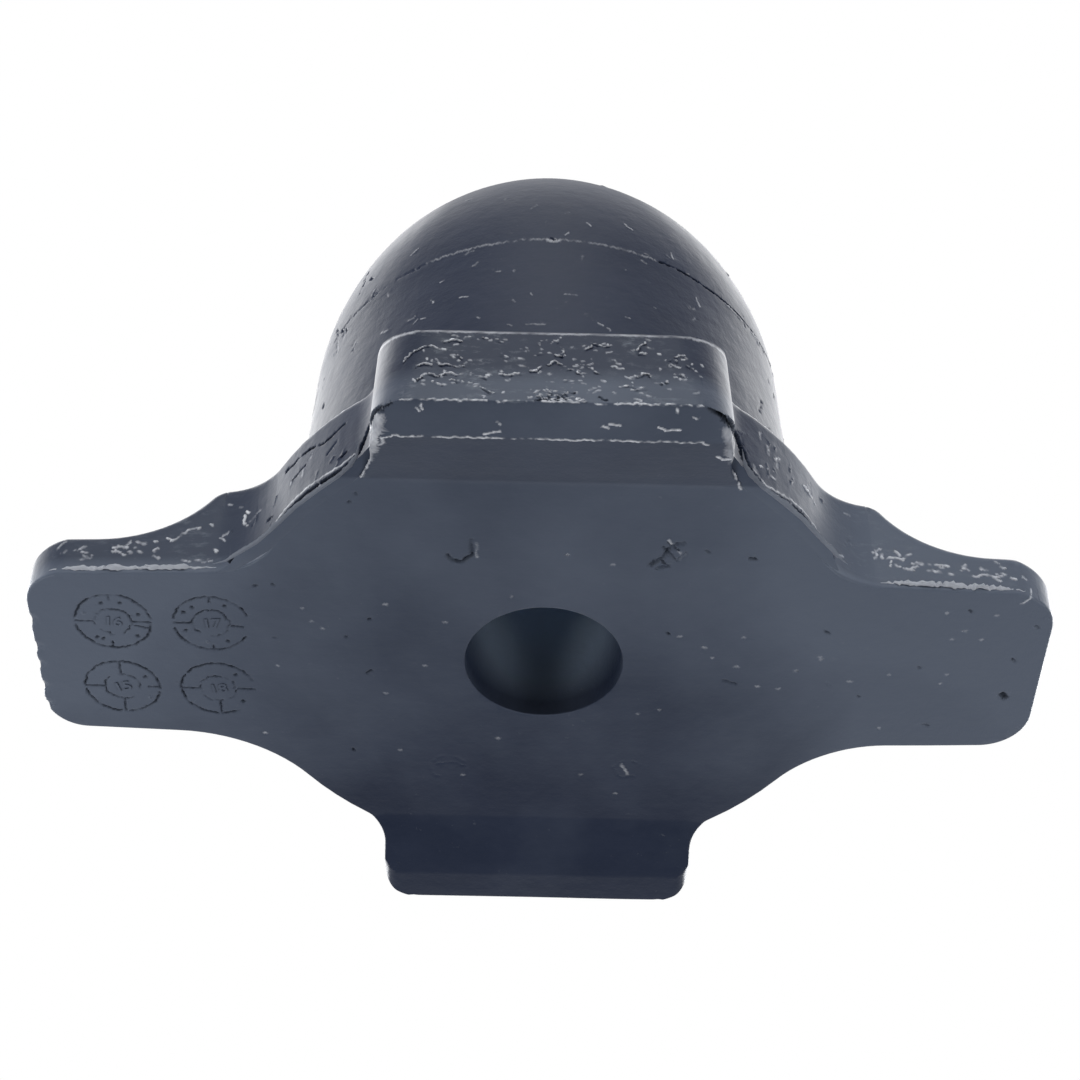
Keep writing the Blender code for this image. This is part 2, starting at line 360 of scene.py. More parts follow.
def end_view():
    fall = (BODY_THICKNESS - LUG_TIP_THICKNESS) / (LUG_REACH - LUG_SLOPE_START)
    beyond = LUG_REACH + SPARE
    half = [bend(PAD_CREASE, UNDERSIDE), bend(PAD_LAND, 0), bend(beyond, 0),
            bend(beyond, BASE_TOP - fall * (beyond - LUG_SLOPE_START)),
            bend(LUG_SLOPE_START, BASE_TOP), bend(LUG_SLOPE_START, BASE_TOP + SPARE)]
    return half + mirrored_x(half)


def cut_four_corners(base, name, make_tool):
    """Cuts the same tool off at the four corners of the two lugs."""
    for sx in (1, -1):
        for sy in (1, -1):
            bm = make_tool()
            bmesh.ops.transform(bm, matrix=Matrix.Diagonal((sx, sy, 1, 1)), verts=bm.verts)
            bmesh.ops.recalc_face_normals(bm, faces=bm.faces)
            combine(base, link(bm, name), "DIFFERENCE")
    return base


def make_base():
    level = Matrix.Translation((0, 0, -SPARE))
    base = swept_outline("rubber_body", whole_plan(), level, (0, 0, BASE_TOP + SPARE + 1 * MM))
    wide, long = 2 * LUG_REACH, 2 * LEFT_WING_REACH
    along_x = Matrix.Translation((0, -wide, 0)) @ UPRIGHT_ALONG_X
    combine(base, swept_outline("side_view", side_view(), along_x, (0, 2 * wide, 0)), "INTERSECT")
    along_y = Matrix.Translation((-long, 0, 0)) @ UPRIGHT_ALONG_Y
    combine(base, swept_outline("end_view", end_view(), along_y, (2 * long, 0, 0)), "INTERSECT")
    return base


def trim_lug_corners(base):
    """The lugs' corners are rounder at the top: a corner section is cut that widens on its way up."""
    x, y, r, beyond, below = LUG_HALF_WIDTH, LUG_REACH, LUG_CORNER, SPARE, 1 * MM
    section = [bend(x - r, y - r, r, 0, QUARTER), bend(x - r, y + beyond), bend(x + beyond, y + beyond),
               bend(x + beyond, y - r)]
    growth = 1 + (LUG_TOP_CORNER_GROWTH - 1) * (BASE_TOP + 2 * below) / BASE_TOP

    def widening_corner():
        bm = filled_outline(section, Matrix.Translation((0, 0, -below)))
        bm.faces.ensure_lookup_table()
        top = carry_on(bm, bm.faces[0], (0, 0, BASE_TOP + 2 * below))
        about = Matrix.Translation((-x, -y, 0))
        bmesh.ops.scale(bm, vec=(growth, growth, 1), verts=top.verts[:], space=about)
        return bm

    return cut_four_corners(base, "corner_trim", widening_corner)


def round_pad_sides(base):
    """Rounds the pads' long side edges; the rounding fades out where the ramp climbs away."""
    crease_x = math.sqrt(BODY_RADIUS ** 2 - PAD_CREASE ** 2)
    radius, clear = PAD_SIDE_ROUNDING, SPARE
    section = [bend(0, 0, radius, -QUARTER, 0), bend(radius + clear, 0),
               bend(radius + clear, -radius - clear), bend(0, -radius - clear)]
    down_ramp = Vector((LUG_HALF_WIDTH - crease_x, PAD_LAND - PAD_CREASE, 0)) * 1.15
    hair = Vector((0.01, 0, -0.01)) * MM  # keeps the tool's edges out of the base's own planes
    corner = Vector((LUG_HALF_WIDTH - radius, PAD_LAND, radius)) + hair
    start = Matrix.Translation(corner - down_ramp) @ UPRIGHT_ALONG_X
    along_land = (0, LUG_REACH + SPARE - PAD_LAND, 0)

    def side_rounding():
        bm = filled_outline(section, start)
        bm.faces.ensure_lookup_table()
        carry_on(bm, carry_on(bm, bm.faces[0], down_ramp), along_land)
        return bm

    return cut_four_corners(base, "pad_rounding", side_rounding)


body = round_pad_sides(trim_lug_corners(make_base()))
print("base:", len(body.data.polygons), "faces, height", round(max(v.co.z for v in body.data.vertices) / MM, 2))

# %% [markdown]
# ## The domed buffer
# The buffer is squeezed when the axle strikes the frame. It is turned: a foot fillet, a wall with a little
# draft so that it leaves the mould, and a half-elliptic cap. The two mould halves met where wall and cap
# meet, which left a hair-thin raised line. Spinning one profile makes all of it.
# %% Dome
DOME_FOOT_RADIUS = 42.4 * MM
DOME_DRAFT = math.radians(2.04)
DOME_WALL_TOP = 55.3 * MM
DOME_APEX = 105.5 * MM
DOME_FOOT_FILLET = 3.0 * MM
DOME_FACETS = 144
WALL_RINGS = 13
CAP_RINGS = 30
MOULD_LINE_HEIGHT = 0.03 * MM
MOULD_LINE_WIDTH = 0.35 * MM
SUNK_FILLET = 0.15 * MM                # so that the Boolean meets no two faces in one plane


def turned(name, profile, facets):
    """A solid turned about the hole axis from (radius, height) points that start and end on the axis."""
    bm = bmesh.new()
    line = [bm.verts.new((radius, 0, height)) for radius, height in profile]
    edges = [bm.edges.new(pair) for pair in zip(line, line[1:])]
    bmesh.ops.spin(bm, geom=line + edges, cent=(0, 0, 0), axis=(0, 0, 1), angle=4 * QUARTER, steps=facets,
                   use_merge=True)
    bmesh.ops.remove_doubles(bm, verts=bm.verts, dist=1e-6)
    bmesh.ops.recalc_face_normals(bm, faces=bm.faces)
    return link(bm, name)


def dome_profile():
    foot = DOME_FOOT_RADIUS + DOME_FOOT_FILLET
    line = [(0, BASE_TOP - 8 * MM), (foot, BASE_TOP - 8 * MM)]
    for i in range(6):
        turn = QUARTER * i / 6
        line.append((foot - DOME_FOOT_FILLET * math.sin(turn),
                     BASE_TOP - SUNK_FILLET + DOME_FOOT_FILLET * (1 - math.cos(turn))))
    wall_low, wall_top = line[-1][1] + 1 * MM, UNDERSIDE + DOME_WALL_TOP
    for i in range(WALL_RINGS):
        height = wall_low + (wall_top - MOULD_LINE_WIDTH - wall_low) * i / (WALL_RINGS - 1)
        line.append((DOME_FOOT_RADIUS - (height - BASE_TOP) * math.tan(DOME_DRAFT), height))
    radius = DOME_FOOT_RADIUS - (wall_top - BASE_TOP) * math.tan(DOME_DRAFT)
    line.append((radius + MOULD_LINE_HEIGHT, wall_top))
    for i in range(CAP_RINGS):
        turn = QUARTER * (i + 0.4 if i == 0 else i) / CAP_RINGS
        line.append((radius * math.cos(turn), wall_top + (DOME_APEX - DOME_WALL_TOP) * math.sin(turn)))
    return line + [(0, UNDERSIDE + DOME_APEX)]


combine(body, turned("dome", dome_profile(), DOME_FACETS), "UNION")
print("with the dome:", len(body.data.polygons), "faces")

# %% [markdown]
# ## The socket
# The head of the spring's centre bolt sits in a blind hole in the underside. Its wall also has draft, and
# its end is rounded. The photograph shows only an even darkness inside, so its depth is a guess.
# %% Socket
SOCKET_RADIUS = 12.5 * MM
SOCKET_DEPTH = 45.0 * MM
SOCKET_DRAFT = math.radians(0.8)
SOCKET_MOUTH_ROUNDING = 0.35 * MM
SOCKET_FACETS = 96


def socket_profile():
    straight = SOCKET_DEPTH - SOCKET_RADIUS * 0.7
    lip = SOCKET_MOUTH_ROUNDING
    line = [(0, UNDERSIDE - SPARE), (SOCKET_RADIUS + lip, UNDERSIDE - SPARE), (SOCKET_RADIUS + lip, UNDERSIDE),
            (SOCKET_RADIUS + 0.3 * lip, UNDERSIDE + 0.3 * lip), (SOCKET_RADIUS, UNDERSIDE + lip)]
    for i in range(1, 8):
        height = lip + (straight - lip) * i / 8
        line.append((SOCKET_RADIUS - height * math.tan(SOCKET_DRAFT), UNDERSIDE + height))
    end_radius = SOCKET_RADIUS - straight * math.tan(SOCKET_DRAFT)
    for i in range(9):
        turn = QUARTER * i / 9
        line.append((end_radius * math.cos(turn),
                     UNDERSIDE + straight + (SOCKET_DEPTH - straight) * math.sin(turn)))
    return line + [(0, UNDERSIDE + SOCKET_DEPTH)]


combine(body, turned("socket", socket_profile(), SOCKET_FACETS), "DIFFERENCE")
print("with the socket:", len(body.data.polygons), "faces")

# %% [markdown]
# ## Rounded edges
# A mould has no knife edges, so neither has the rubber. The bevel operator rounds them: widely along the
# top of the wings, finely round the lugs and along the underside. The edges are picked by the two faces
# that meet there, so a change of size needs no new choice. Every Boolean came before this: a bevelled mesh
# has small gaps, which the exact solver can't cut.
# %% Edge rounding
WING_EDGE_ROUNDING = 1.8 * MM
LUG_EDGE_ROUNDING = 0.8 * MM
LOWER_EDGE_ROUNDING = 0.55 * MM
FOLD = math.radians(118)               # two faces that turn by more than this are folded over


def base_part(bm):
    """The points and edges of the base; the dome above it keeps its own."""
    verts = [vert for vert in bm.verts if vert.co.z < BASE_TOP + 0.01 * MM]
    known = set(verts)
    return verts, [edge for edge in bm.edges if edge.verts[0] in known and edge.verts[1] in known]


def merge_slivers(bm, finest):
    """Merges points of the base that a cut or a bevel left closer together than finest."""
    bmesh.ops.remove_doubles(bm, verts=base_part(bm)[0], dist=finest)
    bmesh.ops.dissolve_degenerate(bm, dist=0.3 * finest, edges=base_part(bm)[1])


def unfold(bm):
    """Smooths the points of the few faces that a bevel or a pressed mark has folded over."""
    for _ in range(8):
        bm.normal_update()
        folded = {vert for edge in bm.edges if edge.calc_face_angle(0) > FOLD for vert in edge.verts}
        bmesh.ops.smooth_vert(bm, verts=list(folded), factor=0.5, use_axis_x=True, use_axis_y=True, use_axis_z=True)


def round_edges(obj, picked, radius, segments):
    """Bevels the edges for which picked(edge) is true."""
    bm = bmesh.new()
    bm.from_mesh(obj.data)
    merge_slivers(bm, 0.03 * MM)
    verts, edges = base_part(bm)
    bmesh.ops.dissolve_limit(bm, angle_limit=math.radians(0.4), verts=verts, edges=edges)
    chosen = [edge for edge in bm.edges if len(edge.link_faces) == 2 and picked(edge)]
    bmesh.ops.bevel(bm, geom=chosen, offset=radius, offset_type="OFFSET", segments=segments,
                    profile=0.5, affect="EDGES", clamp_overlap=False, material=-1)
    merge_slivers(bm, 0.13 * MM)
    unfold(bm)
    bm.to_mesh(obj.data)
    bm.free()
    return len(chosen)


def rises(edge):
    return sorted(face.normal.z for face in edge.link_faces)


def on_lug(edge):
    return all(abs(v.co.y) > LUG_SLOPE_START - 1 * MM for v in edge.verts)


def upper_edge(edge):
    low, high = rises(edge)
    return abs(low) < 0.05 and high > 0.3


def lower_edge(edge):
    low, high = rises(edge)
    return low < -0.9 and abs(high) < 0.05


print("wing edges:", round_edges(body, lambda e: upper_edge(e) and not on_lug(e), WING_EDGE_ROUNDING, 5))
print("lug edges:", round_edges(body, lambda e: upper_edge(e) and on_lug(e), LUG_EDGE_ROUNDING, 3))
print("lower edges:", round_edges(body, lower_edge, LOWER_EDGE_ROUNDING, 3))

# %% [markdown]
# ## An even skin
# Marks can only be pressed into a mesh that has points where they lie. Planes laid a few millimetres
# apart cut the long flat faces into small ones without changing the form; bisect_plane does this.
# %% Cut the skin
SKIN_STEP = 3.2 * MM


def cut_skin(obj):
    bm = bmesh.new()
    bm.from_mesh(obj.data)
    for axis in range(3):
        low = min(v.co[axis] for v in bm.verts)
        high = max(v.co[axis] for v in bm.verts)
        count = int((high - low) / SKIN_STEP)
        normal = Vector([float(axis == i) for i in range(3)])
        for i in range(1, count):
            verts, edges = base_part(bm)
            known = set(verts)
            geom = verts + edges + [face for face in bm.faces if known.issuperset(face.verts)]
            place = normal * (low + (high - low) * (i + 0.013) / count)
            bmesh.ops.bisect_plane(bm, geom=geom, dist=2e-6, plane_co=place, plane_no=normal)
    merge_slivers(bm, 0.08 * MM)
    bm.to_mesh(obj.data)
    bm.free()


cut_skin(body)
print("base skin:", len(body.data.polygons), "faces")

# %% [markdown]
# ## Pressing marks into the skin
# The rubber was torn out of a worn mould and thrown into bins since, so its skin is full of small marks.
# Each one is a line on the surface with a half-width, a height (negative is a groove) and a paleness: torn
# rubber goes light, with painted glints on nicks and painted highlights on edges, and a negative paleness
# paints shade, so cracks, grooves and pits go dark. Edges near a line are subdivided until they are finer
# than the mark, then the points move along their normals. Only skin near a mark gets dense.
# %% Marks helper
LINE_STEP = 0.16 * MM
SKIN_SINK = 0.12 * MM                  # the whole skin lies this much inside the plain solid
SKIN_WAVE = 0.09 * MM                  # and it waves by this much, as cooled rubber does
WAVE_LENGTH = 17 * MM
SHAKE, SHAKE_LENGTH = 0.45 * MM, 0.7 * MM
HALVING_STEPS = (1.6 * MM, 0.8 * MM, 0.4 * MM, 0.26 * MM, 0.17 * MM)
COARSE_EDGE = 1.3 * MM                 # a point on a longer edge than this is left out of every mark
marks = []


def mark(points, half_width, height, torn_and_painted_light=0.0, broken=0.0, finest=0.42):
    """Notes one mark: a line of points in millimetres; broken tells how much it fades in places."""
    marks.append((points, half_width * MM, height * MM, torn_and_painted_light, broken, finest * MM))


def walk(tree, points, ragged):
    """Short steps along the line, shaken where it is ragged, each dropped onto the nearest skin."""
    steps = []
    for a, b in zip(points, points[1:]):
        a, b = Vector(a) * MM, Vector(b) * MM
        count = max(1, round((b - a).length / LINE_STEP))
        steps += [a.lerp(b, i / count) for i in range(count)]
    steps.append(Vector(points[-1]) * MM)
    shake = min(1.0, ragged) * SHAKE
    found = [tree.find_nearest(step + noise.noise_vector(step / SHAKE_LENGTH) * shake) for step in steps]
    return [(hit[0], hit[1]) for hit in found]


def refine(bm, near, samples):
    """Halves the edges close to a mark until they are as fine as the mark asks."""
    for limit in HALVING_STEPS:
        chosen = []
        for edge in bm.edges:
            a, b = edge.verts[0].co, edge.verts[1].co
            length = (a - b).length
            if length > limit:
                _, index, gap = near.find((a + b) / 2)
                _, half_width, _, _, _, finest = marks[samples[index]]
                if length > finest and gap < 1.2 * half_width + 0.45 * length:
                    chosen.append(edge)
        bmesh.ops.subdivide_edges(bm, edges=chosen, cuts=1)
        bmesh.ops.triangulate(bm, faces=[face for face in bm.faces if len(face.verts) > 3])


def press_marks(obj):
    bm = bmesh.new()
    bm.from_mesh(obj.data)
    bmesh.ops.triangulate(bm, faces=bm.faces)
    merge_slivers(bm, 0.05 * MM)
    tree = BVHTree.FromBMesh(bm)
    samples, places = [], []
    for index, item in enumerate(marks):
        for place, _ in walk(tree, item[0], item[4]):
            samples.append(index)
            places.append(place)
    near = KDTree(len(places))
    for i, place in enumerate(places):
        near.insert(place, i)
    near.balance()
    refine(bm, near, samples)
    bm.normal_update()
    painted_light_and_torn = bm.verts.layers.float.new("torn_and_painted_light")
    moves = []
    for vert in bm.verts:
        wave = noise.noise(vert.co / WAVE_LENGTH) * SKIN_WAVE
        move = vert.normal * (wave - SKIN_SINK)
        place, index, gap = near.find(vert.co)
        _, half_width, height, torn_and_painted_light, broken, _ = marks[samples[index]]
        gap *= 1 + 0.5 * noise.noise(vert.co / (0.3 * MM))
        if gap < half_width and max(edge.calc_length() for edge in vert.link_edges) < COARSE_EDGE:
            shape = (1 - (gap / half_width) ** 2) ** 2
            patchy = noise.noise(place / (3.2 * half_width)) + 0.8 * noise.noise(place / (4 * MM))
            fade = 1 + broken * (2.0 * patchy - 0.25)
            fade = min(1.15, max(0.0, fade))
            rough = 1 + 0.3 * noise.noise(vert.co / (0.35 * MM))
            move += vert.normal * (height * shape * fade * rough)
            # Paleness: torn rubber with painted glints and highlights; where negative, painted shade
            vert[painted_light_and_torn] = max(-1.0, min(1.0, torn_and_painted_light * math.sqrt(shape) * fade * rough))
        moves.append(move)
    for vert, move in zip(bm.verts, moves):
        vert.co += move
        vert.co.y = max(-LUG_REACH, min(LUG_REACH, vert.co.y))
        vert.co.z = max(0.0, vert.co.z)
    unfold(bm)
    bm.to_mesh(obj.data)
    bm.free()


# %% [markdown]
# ## Date dials
# Four round inserts in the mould left dials on the left wing, which tell when the part was moulded: an
# outer and an inner ring, ticks between them and a few dots. The rings are broken where rubber filled the
# gap. Here they are plain dials, and raised numbers come later as pieces of their own.
# %% Dials
DIAL_COLUMNS = (-68.05, -52.57)        # mm from the hole's axis
DIAL_ROWS = (-7.5, 7.8)
DIAL_RADIUS = 6.0
DIAL_INNER_RADIUS = 2.9
FLOOR_OF_BASE = UNDERSIDE / MM


def arc_points(cx, cy, radius, start, end):
    count = max(3, round(abs(end - start) / 9))
    turns = [math.radians(start + (end - start) * i / count) for i in range(count + 1)]
    return [(cx + radius * math.cos(t), cy + radius * math.sin(t), FLOOR_OF_BASE) for t in turns]


def spoke(cx, cy, inner, outer, degrees):
    t = math.radians(degrees)
    return [(cx + r * math.cos(t), cy + r * math.sin(t), FLOOR_OF_BASE) for r in (inner, outer)]


def press_dial(cx, cy, gaps, spokes, dots):
    # The grooves, ticks and sunk dots are painted dark as shade; the raised dots keep the skin's colour
    groove = dict(half_width=0.26, height=-0.30, torn_and_painted_light=-0.7, broken=0.4, finest=0.29)
    for start, end in gaps:
        mark(arc_points(cx, cy, DIAL_RADIUS, start, end), **groove)
    mark(arc_points(cx, cy, DIAL_INNER_RADIUS, 0, 360), 0.22, -0.22, -0.6, 0.8, 0.29)
    for degrees, inner, outer in spokes:
        mark(spoke(cx, cy, inner, outer, degrees), 0.22, -0.3, -0.7, 0.2, 0.29)
    for degrees, radius in dots:
        place = spoke(cx, cy, radius, radius + 0.1, degrees)
        mark(place, 0.40, 0.24 if degrees % 2 else -0.30, 0 if degrees % 2 else -0.75, 0, 0.29)


LONG = (3.0, 5.9)
press_dial(DIAL_COLUMNS[0], DIAL_ROWS[0], [(-172, -8), (5, 172)],
           [(180, *LONG), (0, *LONG), (14, 3.6, 5.6), (-92, 4.9, 5.9), (96, 4.6, 5.9)],
           [(-157, 4.7), (-110, 4.3), (-70, 4.4), (-22, 4.4), (42, 4.8), (128, 4.6), (116, 4.4)])
press_dial(DIAL_COLUMNS[1], DIAL_ROWS[0], [(-170, -18), (30, 168)],
           [(180, *LONG), (8, 3.2, 5.0), (-90, 4.8, 5.9), (90, 5.0, 5.9)],
           [(-150, 4.8), (-128, 4.5), (-60, 4.6), (158, 4.4), (60, 4.6), (101, 4.2)])
press_dial(DIAL_COLUMNS[0], DIAL_ROWS[1], [(-176, -95), (-85, 2), (12, 84), (97, 172)],
           [(180, *LONG), (0, 4.2, 5.9), (-90, 3.0, 5.9), (90, 3.0, 5.9)], [(-32, 4.5), (31, 4.9)])
press_dial(DIAL_COLUMNS[1], DIAL_ROWS[1], [(-178, -150), (-140, -20), (60, 88), (95, 175)],
           [(180, *LONG), (0, 3.2, 5.9), (88, 3.2, 5.6)], [(38, 4.8), (-48, 4.5)])
print(len(marks), "marks on the dials")

# %% [markdown]
# ## Lines left by the mould
# Where two mould faces met, the rubber crept into the gap. It shows as fine pale lines round the front lug's
# land and ramp, and as gaps where the flash above the underside has come loose, grooves painted black as shade.
# %% Mould lines and cracks
LUG_FACE = -LUG_REACH / MM
LINE = dict(half_width=0.22, height=0.13, torn_and_painted_light=0.8, finest=0.29)

mark([(-23.6, -57.3, 0.1), (-22.6, LUG_FACE, 0.2), (-2.8, LUG_FACE, 0.15)], broken=0.9, **LINE)
mark([(-1.6, LUG_FACE, 0.3), (3.5, LUG_FACE, 0.2)], broken=0.4, **LINE)
mark([(6.0, LUG_FACE, 0.1), (21.4, LUG_FACE, 0.1)], broken=1.1, **LINE)
mark([(-24.4, -50.2, 0), (-22.8, -51.0, 0), (21.4, -51.0, 0), (22.6, -50.6, 0)], broken=0.7, **LINE)
mark([(-24.6, -50.4, 0.2), (-24.3, -49.4, 0.6), (-24.9, -48.6, 0.9)], 0.3, 0.2, 0.7, 0.3)
# A painted highlight along the lug's top edge and round its corners; it has no height
for side in (-1, 1):
    mark([(side * 26.5, -47.4, 21.0), (side * 26.3, -50.4, 19.4), (side * 24.6, -54.6, 17.4),
          (side * 21.4, -57.4, 16.0), (side * 17.2, LUG_FACE, 15.4), (0, LUG_FACE, 15.4)], 0.36, 0.0, 0.45, 0.4)

# The gap above the flash: a jagged groove painted black as shade, widest beside the lug; the cracks at the lug's lower
# corners are painted black the same way
LEFT_GAP = [(-49.0, -19.7, 5.4), (-47.5, -20.2, 6.2), (-44.5, -22.1, 6.6), (-42.7, -24.2, 7.2), (-40.5, -27.6, 7.7),
            (-36.7, -32.4, 7.7), (-33.4, -35.9, 7.2), (-31.3, -37.7, 7.2), (-29.5, -39.1, 7.9)]
LEFT_TEAR = [(-29.5, -39.1, 7.9), (-28.6, -40.1, 9.3), (-28.1, -40.8, 10.8), (-27.5, -41.6, 12.4)]
RIGHT_GAP = [(44.2, -22.6, 6.2), (42.2, -24.9, 7.2), (39.7, -28.7, 7.8), (36.8, -32.3, 7.4),
             (34.8, -34.6, 6.4), (32.6, -36.6, 5.8), (31.6, -37.5, 6.6), (30.6, -38.2, 7.8)]
RIGHT_TEAR = [(30.6, -38.2, 7.8), (29.4, -39.2, 9.5), (28.8, -39.8, 11.7), (28.2, -40.5, 13.9)]
CRACK_PAINTED_BLACK = dict(torn_and_painted_light=-1.0, finest=0.29)
mark(LEFT_GAP, 0.50, -0.8, broken=0.15, **CRACK_PAINTED_BLACK)
mark(LEFT_TEAR, 0.70, -1.0, broken=0.35, **CRACK_PAINTED_BLACK)
mark(RIGHT_GAP, 0.55, -0.9, broken=0.5, **CRACK_PAINTED_BLACK)
mark(RIGHT_TEAR, 1.0, -1.2, broken=0.4, **CRACK_PAINTED_BLACK)
mark([(-23.2, -57.4, 0.0), (-23.9, -56.9, 0.0), (-24.7, -56.3, 0.1)], 0.55, -0.8, broken=0.3, **CRACK_PAINTED_BLACK)
mark([(-24.7, -56.4, 0.1), (-25.9, -54.7, 1.0), (-26.3, -52.6, 1.8)], 0.95, -1.2, broken=0.15, **CRACK_PAINTED_BLACK)
mark([(22.1, -57.7, 0.0), (23.1, -56.9, 0.0), (24.3, -56.0, 0.0)], 0.45, -0.6, broken=0.4, **CRACK_PAINTED_BLACK)
mark([(24.3, -56.0, 0.0), (25.4, -54.9, 0.4), (26.2, -53.3, 1.2), (26.5, -49.6, 2.6)], 0.85, -1.1,
     broken=0.2, **CRACK_PAINTED_BLACK)
for gap, lift in ((LEFT_GAP, 1.05), (RIGHT_GAP, 1.15)):
    mark([(x, y, z + lift) for x, y, z in gap], 0.24, 0.14, 0.75, 0.5, 0.29)

# Where the pads' sides were torn from the mould the rubber is pale, and a flap hangs on the left
mark([(-25.0, -54.4, 0.2), (-25.2, -52.4, 0.3), (-25.4, -50.4, 0.4), (-26.0, -48.0, 1.0), (-26.4, -46.2, 1.8)],
     1.25, 0.10, 0.55, 0.3, 0.42)
mark([(-26.4, -46.6, 1.6), (-26.9, -43.6, 2.6)], 0.7, 0.12, 0.55, 0.5, 0.42)
mark([(-26.6, -44.2, 2.4), (-27.2, -42.2, 2.9), (-27.9, -40.2, 3.1)], 0.30, 0.3, 0.7, 0.7, 0.29)
mark([(-26.9, -42.8, 8.4), (-27.1, -42.3, 5.4), (-27.5, -41.6, 3.4)], 0.9, 0.08, 0.35, 0.6, 0.42)
mark([(25.0, -53.4, 0.2), (25.6, -51.0, 0.6), (25.9, -48.4, 1.1), (26.2, -46.4, 1.8)], 0.95, 0.10, 0.42, 0.4, 0.42)
mark([(27.0, -42.6, 9.4), (27.4, -41.7, 6.6), (28.2, -40.5, 3.6)], 1.0, 0.08, 0.5, 0.5, 0.42)
mark([(26.8, -43.4, 2.8), (27.7, -41.0, 3.1), (28.3, -39.4, 3.1)], 0.30, 0.26, 0.7, 0.8, 0.29)
mark([(24.0, -47.4, 1.1), (25.1, -46.8, 1.1), (26.0, -47.1, 1.2)], 0.3, 0.2, 0.8, 0.7, 0.29)
# The pale line along the shoulders' upper edge is mostly a painted highlight, on a slight raised scuff
for side in (-1, 1):                   # the shoulders' upper edge is scuffed along the dome's foot
    turns = [math.radians(t) for t in range(35, 62, 3)]
    rim = [(side * 48.7 * math.sin(t), -48.7 * math.cos(t), 21.9) for t in turns]
    mark(rim, 0.32, 0.10, 0.6, 0.5, 0.42)

# The worn skin of the shoulder on the left has cracked along one jagged line, its grooves painted dark as shade
mark([(-40.8, -27.2, 17.9), (-39.0, -29.7, 18.2), (-37.3, -31.7, 18.0), (-34.9, -34.4, 16.4), (-33.0, -36.2, 17.0),
      (-31.5, -37.5, 17.6)], 0.30, -0.42, -0.9, 0.6, 0.29)
mark([(-39.8, -28.5, 14.1), (-38.6, -30.1, 14.5), (-37.7, -31.3, 14.8)], 0.26, -0.35, -0.8, 0.4, 0.29)
mark([(-31.9, -37.2, 10.0), (-30.8, -38.1, 10.7)], 0.26, -0.3, -0.8, 0.4, 0.29)
mark([(-41.0, -26.9, 18.3), (-40.9, -27.0, 18.3)], 0.6, -0.9, -1, 0, 0.29)
mark([(-43.5, -23.2, 10.9), (-43.0, -23.9, 10.9)], 0.5, -0.4, -0.5, 0, 0.42)

# The mould line of the dome opens into a crack on the right, painted dark as shade
mark([(18.0, -36.9, 60.4), (20.6, -35.5, 60.7), (25.8, -31.9, 60.4), (30.6, -27.3, 60.9), (34.5, -22.2, 61.2),
      (37.2, -17.1, 61.7), (38.9, -12.7, 62.5), (40.2, -8.0, 62.0)], 0.30, -0.38, -0.8, 0.6, 0.29)
mark([(29.8, -28.2, 60.4), (34.2, -22.8, 60.6), (37.4, -16.8, 61.0)], 0.3, 0.15, 0.5, 0.8)
mark([(-36.8, -18.5, 60.3), (-32.0, -25.8, 60.4), (-27.5, -30.5, 60.4), (-21.0, -35.3, 60.3)], 0.3, -0.2, 0, 0.9)
mark([(-21.0, -35.3, 60.5), (-15.0, -38.3, 60.4), (0, -41.0, 60.4), (8, -40.2, 60.4), (17.0, -37.4, 60.4)],
     0.24, 0.08, 0.26, 0.8)
mark([(0.0, -41.0, 60.5), (0.5, -41.0, 60.3)], 0.7, -0.6, 0, 0)
mark([(-0.8, -41.0, 60.1), (0.2, -41.0, 59.7), (1.2, -41.0, 60.1)], 0.3, 0.25, 0.6, 0)
for pit in ((-35.5, -20.5, 60.4), (-30.8, -25.9, 68.1), (-37.8, -17.7, 44.2), (-34.8, -21.9, 58.9)):
    mark([pit, (pit[0] + 0.4, pit[1] - 0.3, pit[2] - 0.8)], 0.5, -0.45)
print(len(marks), "marks so far")

